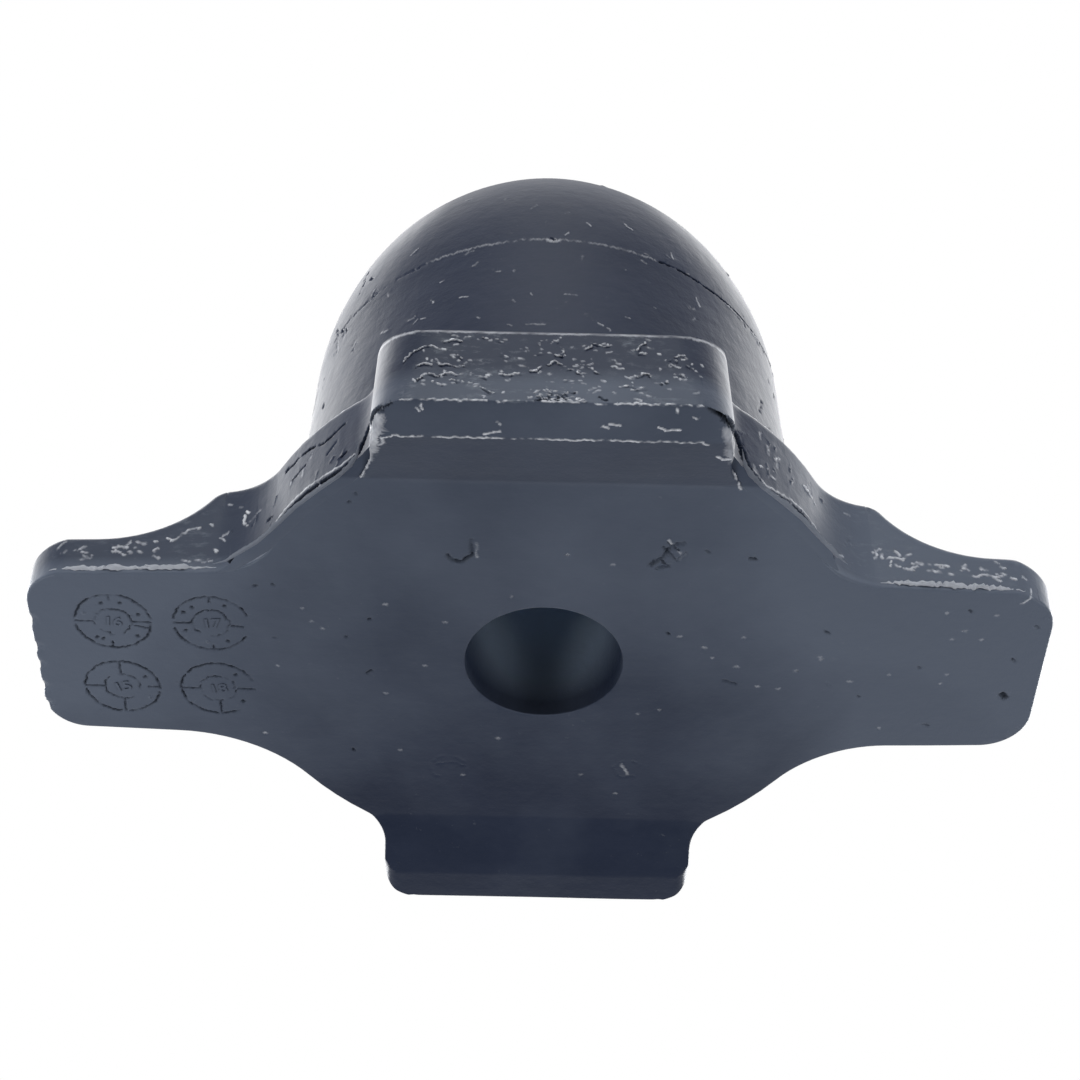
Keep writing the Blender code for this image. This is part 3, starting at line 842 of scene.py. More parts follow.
# %% [markdown]
# ## Nicks
# The outer face of the front lug took most of the knocks. The larger nicks are placed one by one where the
# photograph shows them; smaller ones are strewn by a seeded dice, mostly lying along the face.
# %% Nicks, placed
LUG_NICKS = [                          # (x, height) on the front lug's outer face
    [(-22.2, 9.3), (-20.6, 10.9), (-19, 11.9), (-17.8, 12.1), (-16.7, 11.4)],
    [(-15.8, 12.9), (-14.8, 13.6), (-13.5, 13.4)], [(-13.2, 14), (-12, 14.2)], [(-10.4, 14.4), (-9.5, 14)],
    [(-8.5, 13.8), (-7.5, 13.6)], [(-19.9, 7.5), (-18.7, 8.1), (-17.4, 7.8)],
    [(-16.6, 7.9), (-15.2, 7.9), (-13, 7.7)], [(-13.9, 10.2), (-13.4, 9.4)],
    [(-17.8, 6), (-16.7, 5.4), (-15.4, 6.1)], [(-15.6, 6.1), (-13.3, 5.8), (-11.1, 5.7), (-9.7, 5.1)],
    [(-14.7, 4.5), (-13.3, 4.3), (-11.7, 3.9)], [(-10.5, 3.2), (-8.6, 2)],
    [(-7.7, 6.2), (-6.5, 5.9), (-4.9, 6.3)], [(-7.6, 10.4), (-7, 9.6)], [(-19.3, 4.4), (-18.8, 5.3)],
    [(-2.6, 13.3), (-1.9, 12.8)], [(-1.9, 13.6), (-0.7, 13.9), (0.1, 13.4), (0.7, 13.5)],
    [(-2.9, 10.6), (-1.7, 10.9)], [(0.3, 10.7), (1.1, 10.1), (1.5, 11.7)],
    [(-3.6, 7), (-2.5, 6.8), (-1.9, 7.8)], [(-0.9, 8.4), (0.1, 9.1), (1.1, 8.5)],
    [(1.3, 7.9), (2.8, 7.4), (3.4, 6.8), (4.4, 6.6)], [(3.2, 8.9), (4.4, 8.6), (5.2, 8)],
    [(4, 11.7), (5, 12.1), (5.6, 12.8)], [(5.8, 13.4), (7.3, 12.8), (8.1, 13.2)],
    [(5, 8.3), (6, 7.1), (6.8, 6.7)], [(9.6, 3.9), (11.2, 4.2), (12, 3.6)], [(11.2, 3.3), (13.2, 3.7)],
    [(12.1, 12), (13.4, 13.9)], [(12.3, 11.1), (13.2, 11.4)], [(16.2, 10.2), (17.2, 10.3), (18, 9.7)],
    [(17.6, 10.7), (19.1, 11)], [(19.2, 9.1), (20.2, 8.2)], [(16.5, 9.1), (17.3, 8.8)],
    [(12.2, 6.1), (13.3, 7.1), (14, 6.2)], [(-0.9, 2.6), (1.1, 2.6), (1.9, 2.4)],
    [(-2.4, 1.6), (-0.8, 0.9), (1.2, 0.8)], [(17.5, 6.7), (19.3, 6.4)], [(1.5, 5.1), (3.2, 4.9)],
    [(-17.3, 4.1), (-15.9, 3.3)], [(-12.6, 8.6), (-12.5, 7.9)], [(15.2, 4.7), (16.2, 5.2)],
]
LAND_NICKS = [                         # (x, y) on the land under the front lug
    [(-18.7, -57), (-18.5, -56.2)], [(-7.9, -54.1), (-7.5, -53.6)], [(-9.9, -51.8), (-7.5, -52.4)],
    [(7.1, -53.9), (7.9, -53.4)], [(8.1, -54.2), (9.7, -54)], [(15.1, -53.9), (16.2, -53.3), (18.2, -53.3)],
    [(17.5, -57.6), (17.8, -56.6)], [(20, -55.8), (20.4, -55.4)], [(-19.5, -56.4), (-19.1, -55.8)],
]
DOME_NICKS = [
    [(-22.4, -35.2, 45), (-21.7, -35.6, 45.6)], [(-21.2, -35.9, 45.3), (-20.5, -36.3, 45.1)],
    [(-18.4, -37, 53.5), (-17.7, -37.3, 53.6)], [(-14.9, -38.8, 47.6), (-13.8, -39.2, 47.2)],
    [(-9.2, -40.3, 52.4), (-8.5, -40.5, 52.3)], [(2, -41.6, 45.6), (4, -41.5, 45.5)],
    [(0.7, -41.8, 41.7), (1.3, -41.8, 41.6)], [(2.2, -40.9, 61.9), (2.7, -40.8, 62.6)],
    [(5.8, -40.1, 66.3), (6.5, -40.1, 65.6)], [(12.3, -38.3, 68.7), (13.4, -38.1, 67.4)],
    [(11.7, -39.6, 55), (12.1, -39.4, 54.8)], [(11.9, -40.1, 42), (12.6, -39.9, 41.9)],
    [(20.1, -35.4, 64.8), (20.4, -35.4, 63)], [(22.7, -34.1, 60.9), (23, -33.9, 60.8)],
    [(24.1, -33.4, 55.4), (24.7, -33.1, 53.6)], [(16.7, -38.1, 47.1), (17, -38, 47)],
    [(-11.8, -40.2, 41), (-11.6, -40.3, 40.7)], [(-7.3, -41.4, 38), (-6.4, -41.5, 37.5)],
    [(-4, -41.8, 37.5), (-1.1, -42, 37.4)], [(7.4, -41.3, 38.9), (8, -41.2, 38.4)],
    [(8.9, -41, 37.9), (9.4, -41, 37.4)], [(-19.6, -36.6, 49.3), (-19.3, -36.8, 48.5)],
    [(-3.4, -41.5, 45.7), (-3.1, -41.6, 45.3)], [(-6.3, -41.2, 44.2), (-5.8, -41.3, 43.6)],
]
WING_NICKS = [
    [(-76.5, -17.8, 7.5), (-75.8, -18, 7.8)],
    [(-74.4, -18.2, 7.5), (-73.3, -18.2, 8.8), (-72.7, -18.3, 8.3)],
    [(-73, -18.2, 8.3), (-70.6, -18.3, 7.1)],
    [(-67.6, -18.5, 8.8), (-66.5, -18.5, 9.1), (-65.3, -18.5, 8.8)],
    [(-67, -18.5, 8.3), (-65.9, -18.5, 7.2), (-65, -18.6, 7.4)], [(-64.4, -18.6, 8.8), (-62.7, -18.7, 7)],
    [(-61.3, -18.7, 10.1), (-60.9, -18.7, 9.9)],
    [(-59.5, -18.8, 10.9), (-58.7, -18.8, 10.2), (-57.8, -18.8, 10.9)],
    [(-57.5, -18.9, 11.4), (-56.5, -18.9, 12.5), (-54.5, -19, 13.3)],
    [(-53, -19, 13.8), (-52.6, -19.1, 13.5)], [(-51, -19.2, 10.7), (-50.3, -19.3, 10)],
    [(-51.9, -19.1, 8.6), (-51.5, -19.1, 7.8)], [(-50.4, -19.3, 18.2), (-50, -19.4, 18)],
    [(-48.8, -19.7, 17.3), (-48.3, -19.8, 17)], [(-47.4, -20.2, 15.8), (-47, -20.5, 15)],
    [(-56.5, -18.9, 6), (-55.9, -18.9, 5.8)], [(-55.4, -18.9, 5.9), (-52.4, -19.1, 6.1)],
    [(-46.9, -20.5, 12.2), (-46.9, -20.5, 10.9)], [(-47.7, -20.1, 14.8), (-47.3, -20.2, 13)],
    [(52.4, -19.1, 10.8), (52.5, -19.1, 9.6)], [(53.3, -19, 9.7), (54.6, -19, 10.1), (55.7, -18.9, 9.3)],
    [(53.6, -19, 8.5), (55.2, -19, 8)], [(55.8, -18.9, 9.8), (57.2, -18.9, 11.1)],
    [(56.9, -18.9, 8.8), (60.2, -18.8, 8.7), (62.7, -18.7, 8.6)], [(58.4, -18.8, 7.7), (64.1, -18.6, 6.7)],
    [(66.5, -18.5, 6.6), (68.2, -18.4, 7), (70.3, -18.3, 6.8)],
    [(70.3, -18.3, 7.4), (72, -18.3, 7.3), (73.1, -18.2, 6.5)], [(51.4, -19.1, 11.2), (51.7, -19.1, 10.2)],
    [(54.7, -19, 11.2), (55.2, -19, 10.5)], [(31.8, -37.2, 10.4), (34.3, -35, 11.7)],
    [(32.8, -36.3, 9), (34.7, -34.6, 10.5)], [(39.6, -28.8, 15.5), (41.9, -25.3, 14.6)],
    [(53.7, -19, 9.1), (53.7, -19, 7.9)], [(47.3, -20.3, 18.2), (48, -20, 18.2)],
]
UNDERSIDE_PITS = [                     # (x, y) on the flat underside
    [(-27.7, -9.3), (-27.5, -9.3)], [(-31.5, -5.2), (-31.3, -5.1)], [(-28.4, 3.3), (-27.6, 2.6)],
    [(-42.5, -16.7), (-42.3, -16.5)], [(-45.3, -16.3), (-45, -16.2)], [(-28.9, -36.5), (-28.7, -36.3)],
    [(-30.1, -34.7), (-29.9, -34.6)], [(-42.8, -4.6), (-42.6, -4.5)], [(-31.2, 22.2), (-31, 22.5)],
    [(30.9, -24.6), (31.8, -24.4)], [(24.2, -26.1), (24.7, -25.8)], [(74.7, -3.3), (75.1, -2.8)],
    [(51, 6.4), (51.2, 6.5)], [(28.9, 3.2), (31.1, 4)], [(60, -1), (60.2, -0.7)],
    [(77.1, -11), (77.5, -10.7)], [(66.1, -14.2), (66.4, -14)], [(44.3, -8.7), (44.7, -8.4)],
    [(17.6, -26.7), (19.6, -24)], [(17.4, -23.9), (18.5, -22.5)], [(18.2, -27.9), (19.9, -26)],
    [(19.4, -7.6), (19.7, -7.3)], [(62.7, 13), (63.4, 13.3)],
]
dice = random.Random(41)


def torn_nick(line, place, thick):
    """A bright nick, pale torn rubber with a painted glint, a shallow groove below it darkened with painted shadow, and
    a few flecks round it; place turns (a, b) into a point.
    """
    mark([place(a, b) for a, b in line], thick, 0.2, 0.85, 0.9, 0.21)
    mark([place(a, b - thick - 0.22) for a, b in line], 0.2, -0.16, -0.35, 0.8, 0.29)
    for _ in range(2):
        a, b = dice.choice(line)
        a, b = a + dice.gauss(0, 0.8), b + dice.gauss(0, 0.6)
        mark([place(a, b), place(a + dice.uniform(-0.4, 0.4), b + dice.uniform(-0.2, 0.2))],
             dice.uniform(0.16, 0.24), 0.12, dice.uniform(0.4, 0.9), 0.3, 0.29)


def on_lug_face(x, z):
    return (max(-22.5, min(22.0, x)), LUG_FACE, max(0.4, min(14.6, z)))


for line in LUG_NICKS:
    torn_nick(line, on_lug_face, dice.uniform(0.15, 0.23))
for line in LAND_NICKS:
    mark([(x, y, 0) for x, y in line], 0.2, 0.16, 0.9, 0.5, 0.29)
for line in DOME_NICKS:
    mark(line, 0.18, 0.16, dice.uniform(0.3, 0.6), 0.6, 0.29)
for line in WING_NICKS:
    mark(line, dice.uniform(0.20, 0.30), 0.22, 0.9, 0.8, 0.29)
# The pits are painted dark as shade
for line in UNDERSIDE_PITS:
    mark([(x, y, FLOOR_OF_BASE) for x, y in line], 0.34, -0.3, -0.5, 0.3, 0.3)

# Torn marks on the underside, a round dent behind the hole and one pit on the right wing; the torn grooves and the pit
# are painted dark as shade
mark([(-11.7, -27.4, 3.1), (-11.6, -24.2, 3.1), (-12.9, -22.6, 3.1), (-14.6, -22.9, 3.1), (-15.2, -24.0, 3.1)],
     0.42, -0.5, -0.6, 0.5)
mark([(-10.9, -26.8, 3.1), (-10.8, -23.8, 3.1)], 0.24, 0.16, 0.22, 0.5)
mark([(15.8, -22.8, 3.1), (17.4, -24.2, 3.1), (18.8, -26.8, 3.1), (20.6, -27.6, 3.1)], 0.5, -0.5, -0.5, 0.6)
mark([(17.0, -22.0, 3.1), (19.6, -23.4, 3.1), (21.2, -25.4, 3.1)], 0.4, -0.4, 0, 0.7)
mark([(18.2, -28.2, 3.1), (20.2, -25.6, 3.1)], 0.25, 0.22, 0.6, 0.5)
mark(arc_points(-15.3, 26.4, 3.0, 120, 395), 0.34, -0.12, 0, 0.8)
mark([(-17.2, 25.6, 3.1), (-14.4, 25.0, 3.1), (-12.8, 26.0, 3.1)], 0.3, -0.16, 0, 0.4)
mark(arc_points(14.7, 25.9, 2.2, 60, 330), 0.34, -0.14, 0, 0.8)
mark([(13.6, 24.6, 3.1), (14.7, 27.2, 3.1)], 0.26, 0.14, 0.4, 0.6)
mark([(74.4, 5.3, 3.1), (74.9, 5.9, 3.1)], 0.7, -0.7, -0.8)
mark([(75.6, -17.6, 5.2), (75.2, -17.2, 3.3), (73.9, -15.9, 3.1)], 0.18, 0.14, 0.7, 0.2)
mark([(45.5, 3.0, 3.1), (47.2, 4.4, 3.1), (46.8, 6.0, 3.1)], 0.25, -0.12, 0, 0.6)
for y in (-7.5, -1.2, 3.0, 8.2, 12.6):  # the left wing's end was trimmed unevenly
    mark([(-81.2, y, 3.2), (-81.2, y + 0.9, 5.5)], 1.7, -0.42, 0, 0.2, 0.6)


# %% [markdown]
# ## Strewn nicks
# The rest of the wear is strewn by the same dice: over the lug's face, the dome, the side walls and the
# underside. The dice is seeded, so that each run draws the same nicks.
# %% Nicks, strewn


def strewn_line(x, z, length, lean):
    """A short bent line in a plane, as (x, z) points."""
    half = length / 2
    dx, dz = half * math.cos(lean), half * math.sin(lean)
    return [(x - dx, z - dz), (x + dice.uniform(-0.2, 0.2), z + dice.uniform(-0.25, 0.25)), (x + dx, z + dz)]


for _ in range(64):
    x = dice.choice((-11, -2, 2, 8, 15)) + dice.gauss(0, 4.5)
    line = strewn_line(x, dice.uniform(0.8, 13.8), dice.uniform(0.2, 1.5), dice.gauss(0, 0.45))
    mark([on_lug_face(*point) for point in line],
         dice.uniform(0.16, 0.24), 0.12, dice.uniform(0.2, 0.7), 0.9, 0.29)
# The grooves among these are painted dark as shade
for _ in range(34):                    # the knocked middle of the lower rim
    line = strewn_line(dice.gauss(1.2, 2.6), dice.uniform(0.3, 2.8), dice.uniform(0.2, 1.3), dice.gauss(0, 0.9))
    high = dice.choice((0.26, 0.26, -0.25))
    mark([on_lug_face(*point) for point in line],
         dice.uniform(0.16, 0.28), high, 0.8 if high > 0 else -0.7, 0.5, 0.21)


def dome_line(turn, height, length, lean):
    """A line on the dome's skin; turn is degrees round from the front, lean 90 runs up the dome."""
    a, b = math.radians(turn), math.radians(lean)
    reach = 42 if height < 60 else 42 * math.sqrt(max(0.05, 1 - ((height - 60) / 50) ** 2))
    points = []
    for step in (-0.5, 0, 0.5):
        t = a + step * length * math.cos(b) / reach
        z = height + step * length * math.sin(b)
        points.append((reach * math.sin(t), -reach * math.cos(t), z))
    return points


for _ in range(34):                    # small pale nicks on the side that the photograph shows
    mark(dome_line(dice.uniform(-55, 60), dice.uniform(26, 92), dice.uniform(0.3, 1.6), dice.uniform(-90, 90)),
         0.20, dice.choice((0.14, 0.14, -0.18)), dice.uniform(0.1, 0.4), 0.6)
for _ in range(100):                   # worn, streaked flanks, where the skin dragged along the mould
    turn = dice.choice((-1, 1)) * dice.uniform(52, 100)
    mark(dome_line(turn, dice.uniform(24, 92), dice.uniform(0.8, 4.5), dice.gauss(90, 22)),
         dice.uniform(0.25, 0.5), dice.choice((0.14, -0.2, -0.24)), dice.choice((0, 0, 0.35)), 0.8, 0.58)
for _ in range(60):                    # the far side is worn as well
    mark(dome_line(dice.uniform(100, 260), dice.uniform(24, 98), dice.uniform(0.5, 4), dice.uniform(-90, 90)),
         dice.uniform(0.25, 0.4), dice.choice((0.16, -0.2)), dice.choice((0, 0.6)), 0.8, 0.58)


def side_line(x, side, height, length, lean):
    """A line on the wing's or lug's side wall, at x from the hole, on the front (-1) or back (1) side."""
    dx, dz = length / 2 * math.cos(lean), length / 2 * math.sin(lean)
    y = side * (19.4 if abs(x) > 47 else math.sqrt(49 ** 2 - x * x) if abs(x) > 27 else 58.2)
    return [(x - dx, y, height - dz), (x + dx, y, height + dz)]


for _ in range(50):
    x = dice.choice((-1, 1)) * dice.uniform(50, 77)
    top = 17 if abs(x) < 55 else 10.5
    mark(side_line(x, dice.choice((-1, -1, 1)), dice.uniform(5.6, top), dice.uniform(0.3, 1.6), dice.gauss(0.2, 0.5)),
         0.24, dice.choice((0.2, 0.2, -0.2)), 0.7, 0.4)
for _ in range(60):
    x = dice.choice((-1, 1)) * dice.uniform(29, 46)
    mark(side_line(x, dice.choice((-1, -1, 1)), dice.uniform(5.5, 19), dice.uniform(0.5, 3.0), dice.gauss(1.2, 0.4)),
         0.3, dice.choice((0.16, -0.2)), dice.choice((0, 0.4)), 0.7)
for _ in range(40):
    line = strewn_line(dice.uniform(-22, 22), dice.uniform(1.5, 13), dice.uniform(0.3, 2.0), dice.gauss(0, 0.6))
    mark([(x, -LUG_FACE, z) for x, z in line], 0.24, dice.choice((0.2, -0.2)), 0.6, 0.5)
for _ in range(46):                    # specks and pin holes on the underside
    x, y = dice.uniform(-44, 74), dice.gauss(0, 13)
    if math.hypot(x, y) > 15 and (abs(x) < 40 or abs(y) < 17):
        mark([(x, y, 3.1), (x + dice.uniform(0.1, 0.5), y, 3.1)], 0.26, dice.choice((0.12, -0.2, -0.24)), 0.3, 0.2)
print(len(marks), "marks in all")

press_marks(body)
body.data.transform(Matrix.Translation((HOLE_AXIS_X, 0, 0)))
print("skin with marks:", len(body.data.polygons), "faces")

# %% [markdown]
# ## Flash
# Flash is the thin skin of rubber that creeps out between the mould halves and is trimmed roughly. On this
# part it stands out as a lip round the front of the base, and along the wings it has been torn back to a
# bright ragged bead. Each is a small ring of points, flattened, carried along the wall station by station
# with extrude, and never twice the same size, so that it looks torn and not drawn.
# %% Flash strips
STATION_STEP = 0.34 * MM
RING_POINTS = 8
SHARP_FLASH, SHARP_BODY = math.radians(50), math.radians(40)


def wall_path(points):
    """Stations along the base's side wall, left to right along the front: a place and the way out from it."""
    offset = Vector((HOLE_AXIS_X, 0, 0))
    stations = []
    for a, b in zip(points, points[1:]):
        a, b = Vector(a) * MM, Vector(b) * MM
        count = max(1, round((b - a).length / STATION_STEP))
        stations += [a.lerp(b, i / count) + offset for i in range(count)]
    stations.append(Vector(points[-1]) * MM + offset)
    last = len(stations) - 1
    ahead = [(stations[min(i + 6, last)] - stations[max(i - 6, 0)]).normalized() for i in range(last + 1)]
    return [(place, Vector((way.y, -way.x, 0)).normalized()) for place, way in zip(stations, ahead)]


def ragged_strip(name, points, inner, outer, low, high, ragged, seed):
    """A torn strip along the wall: from inner to outer, measured outwards, and from low to high, all in mm."""
    path = wall_path(points)
    shapes = []
    for i, (place, outward) in enumerate(path):
        end = min(1.0, 0.10 + 0.06 * min(i, len(path) - 1 - i))
        far = 1 + ragged * (0.8 * noise.noise((i * 0.13, seed, 0)) + 0.8 * noise.noise((i * 0.6, seed, 5)))
        thick = 1 + ragged * noise.noise((i * 0.4, seed, 9))
        width, thickness = (outer - inner) * max(0.35, far) * end, (high - low) * max(0.35, thick) * end
        middle = place + outward * ((inner + width / 2) * MM)
        middle.z = ((low + high) / 2 + 0.3 * ragged * (high - low) * noise.noise((i * 0.5, seed, 17))) * MM
        along = Vector((0, 0, 1)).cross(outward)
        out_way, up_way = outward * (width / 2 * MM), Vector((0, 0, thickness / 2 * MM))
        shapes.append(Matrix(((out_way.x, up_way.x, along.x * MM, middle.x),
                              (out_way.y, up_way.y, along.y * MM, middle.y),
                              (out_way.z, up_way.z, along.z * MM, middle.z), (0, 0, 0, 1))))
    bm = bmesh.new()
    bmesh.ops.create_circle(bm, cap_ends=True, segments=RING_POINTS, radius=1, matrix=shapes[0])
    ring = bm.edges[:]
    for before, now in zip(shapes, shapes[1:]):
        grown = bmesh.ops.extrude_edge_only(bm, edges=ring)["geom"]
        ring = [item for item in grown if isinstance(item, bmesh.types.BMEdge) and len(item.link_faces) == 1]
        tips = {vert for edge in ring for vert in edge.verts}
        bmesh.ops.transform(bm, matrix=now @ before.inverted(), verts=list(tips))
    bmesh.ops.contextual_create(bm, geom=ring)
    for vert in bm.verts:
        vert.co += Vector((0, 0, 1)) * (0.2 * ragged * (high - low) * MM * noise.noise(vert.co / (0.5 * MM)))
        vert.co.z = max(vert.co.z, 0.02 * MM)
    bmesh.ops.recalc_face_normals(bm, faces=bm.faces)
    strip = link(bm, name)
    strip.data.shade_smooth()
    strip.data.set_sharp_from_angle(angle=SHARP_FLASH)
    return strip


LEFT_LIP = [(-51.0, -19.6, 0), (-48.6, -20.3, 0), (-45.6, -22.6, 0), (-43.0, -24.8, 0), (-40.2, -28.1, 0),
            (-36.8, -32.4, 0), (-33.2, -36.0, 0), (-30.4, -38.6, 0), (-28.2, -41.2, 0), (-27.1, -43.6, 0),
            (-26.6, -47.0, 0)]
RIGHT_LIP = [(26.6, -47.0, 0), (27.1, -43.6, 0), (28.2, -41.2, 0), (30.4, -38.6, 0), (33.2, -36.0, 0),
             (36.8, -32.4, 0), (40.2, -28.1, 0), (43.0, -24.8, 0), (45.2, -22.9, 0)]
sheets = [ragged_strip("flash_sheet_left", LEFT_LIP, -0.9, 1.75, 3.16, 3.42, 0.06, 3.1),
          ragged_strip("flash_sheet_right", RIGHT_LIP, -0.9, 1.75, 3.16, 3.42, 0.10, 8.4)]
lips = [ragged_strip("flash_lip_left", LEFT_LIP, 1.30, 2.05, 2.98, 3.44, 0.22, 5.7),
        ragged_strip("flash_lip_right", RIGHT_LIP, 1.20, 2.05, 2.96, 3.44, 0.45, 9.2)]
beads = [ragged_strip("torn_bead_left", [(-77.0, -17.9, 0), (-66, -18.4, 0), (-55, -18.8, 0), (-50.6, -19.3, 0)],
                      -0.3, 0.42, 3.9, 4.7, 0.9, 13.7),
         ragged_strip("torn_bead_right", [(51.6, -19.2, 0), (62, -18.6, 0), (74.4, -18.1, 0)],
                      -0.3, 0.46, 3.8, 4.7, 1.1, 27.2)]
print([len(strip.data.polygons) for strip in sheets + lips + beads], "faces in the flash")

# %% [markdown]
# ## Numbers on the dials
# Each dial has a plain raised number in its middle. Text is the quickest way to draw figures; it is made a
# mesh first and then laid into its place on the underside, reading from below.
# %% Dial numbers
NUMBER_HEIGHT, NUMBER_RELIEF = 3.0 * MM, 0.22 * MM


def dial_number(name, text, cx, cy, turn):
    curve = bpy.data.curves.new(name + "_text", "FONT")
    curve.body = text
    curve.size = NUMBER_HEIGHT
    curve.extrude = NUMBER_RELIEF
    curve.offset = 0.03 * MM
    curve.align_x, curve.align_y = "CENTER", "CENTER"
    curve.resolution_u = 4
    text_object = bpy.data.objects.new(name + "_text", curve)
    bpy.context.scene.collection.objects.link(text_object)
    graph = bpy.context.evaluated_depsgraph_get()
    mesh = bpy.data.meshes.new_from_object(text_object.evaluated_get(graph))
    bpy.data.objects.remove(text_object)
    bm = bmesh.new()
    bm.from_mesh(mesh)
    bmesh.ops.remove_doubles(bm, verts=bm.verts, dist=0.01 * MM)
    face_down = Matrix.Rotation(math.pi, 4, "X")
    place = Matrix.Translation((cx * MM + HOLE_AXIS_X, cy * MM, UNDERSIDE + SKIN_SINK))
    bm.transform(place @ face_down @ Matrix.Rotation(math.radians(turn), 4, "Z"))
    bmesh.ops.recalc_face_normals(bm, faces=bm.faces)
    return link(bm, name)


numbers = [dial_number("dial_number_1", "16", DIAL_COLUMNS[0], DIAL_ROWS[0], -6),
           dial_number("dial_number_2", "17", DIAL_COLUMNS[1], DIAL_ROWS[0], 4),
           dial_number("dial_number_3", "15", DIAL_COLUMNS[0], DIAL_ROWS[1], 14),
           dial_number("dial_number_4", "18", DIAL_COLUMNS[1], DIAL_ROWS[1], 8)]

# %% [markdown]
# ## Effects shared by the finishes
# Four node groups: one gives soft clouds, where bloom and handling left the skin lighter or duller, one
# painted light and shade over a film of dust on the underside and side walls, with a paler strip in the
# socket, one the smeared scuffs on the faces that get knocked, and one the fine grain of the mould as a
# bump. All read Object coordinates in metres, so their scale is a real size.
# %% Shared node groups


def new_group(name, inputs, outputs):
    group = bpy.data.node_groups.new(name, "ShaderNodeTree")
    for title, value in inputs:
        socket = group.interface.new_socket(name=title, in_out="INPUT", socket_type="NodeSocketFloat")
        socket.default_value = value
    for title, kind in outputs:
        group.interface.new_socket(name=title, in_out="OUTPUT", socket_type=kind)
    return group, group.nodes.new("NodeGroupInput"), group.nodes.new("NodeGroupOutput")


def maths(operation, first, second=0.0, clamp=False):
    """A Math node, in the tree that the sockets among its values belong to."""
    tree = next(value.id_data for value in (first, second) if not isinstance(value, (int, float)))
    node = tree.nodes.new("ShaderNodeMath")
    node.operation, node.use_clamp = operation, clamp
    for socket, value in zip(node.inputs, (first, second)):
        if isinstance(value, (int, float)):
            socket.default_value = value
        else:
            tree.links.new(value, socket)
    return node.outputs[0]


def times(first, second, clamp=False):
    return maths("MULTIPLY", first, second, clamp)


def plus(first, second, clamp=False):
    return maths("ADD", first, second, clamp)


def noise_field(place, size_mm, detail, rough=0.5, stretch=None):
    """Noise whose blobs are about size_mm wide."""
    tree = place.id_data
    if stretch:
        mapping = tree.nodes.new("ShaderNodeMapping")
        mapping.inputs["Scale"].default_value = stretch
        tree.links.new(place, mapping.inputs["Vector"])
        place = mapping.outputs[0]
    node = tree.nodes.new("ShaderNodeTexNoise")
    node.inputs["Scale"].default_value = 1000 / size_mm
    node.inputs["Detail"].default_value = detail
    node.inputs["Roughness"].default_value = rough
    tree.links.new(place, node.inputs["Vector"])
    return node.outputs["Fac"]


def ramp(value, low, high):
    """Maps low..high to 0..1, clamped."""
    tree = value.id_data
    node = tree.nodes.new("ShaderNodeMapRange")
    node.inputs["From Min"].default_value, node.inputs["From Max"].default_value = low, high
    tree.links.new(value, node.inputs["Value"])
    return node.outputs[0]


def coordinates(group):
    """Object coordinates, whole and as X, Y and Z."""
    place = group.nodes.new("ShaderNodeTexCoord").outputs["Object"]
    split = group.nodes.new("ShaderNodeSeparateXYZ")
    group.links.new(place, split.inputs[0])
    return place, *split.outputs


def cloudy_skin():
    group, source, sink = new_group("cloudy_skin", [("Clouds", 1.0), ("Specks", 1.0)],
                                    [("Bloom", "NodeSocketFloat"), ("Speck", "NodeSocketFloat")])
    place = group.nodes.new("ShaderNodeTexCoord").outputs["Object"]
    wide = ramp(noise_field(place, 26, 5, 0.6), 0.36, 0.68)
    streaks = ramp(noise_field(place, 9, 6, 0.65, (0.5, 1.1, 1.1)), 0.42, 0.72)
    bloom = plus(times(wide, 0.65), times(streaks, 0.35))
    group.links.new(times(bloom, source.outputs["Clouds"], True), sink.inputs["Bloom"])
    specks = ramp(noise_field(place, 1.1, 3, 0.6), 0.66, 0.80)
    areas = ramp(noise_field(place, 14, 2), 0.45, 0.75)
    speck = times(times(specks, areas), source.outputs["Specks"], True)
    group.links.new(speck, sink.inputs["Speck"])
    return group


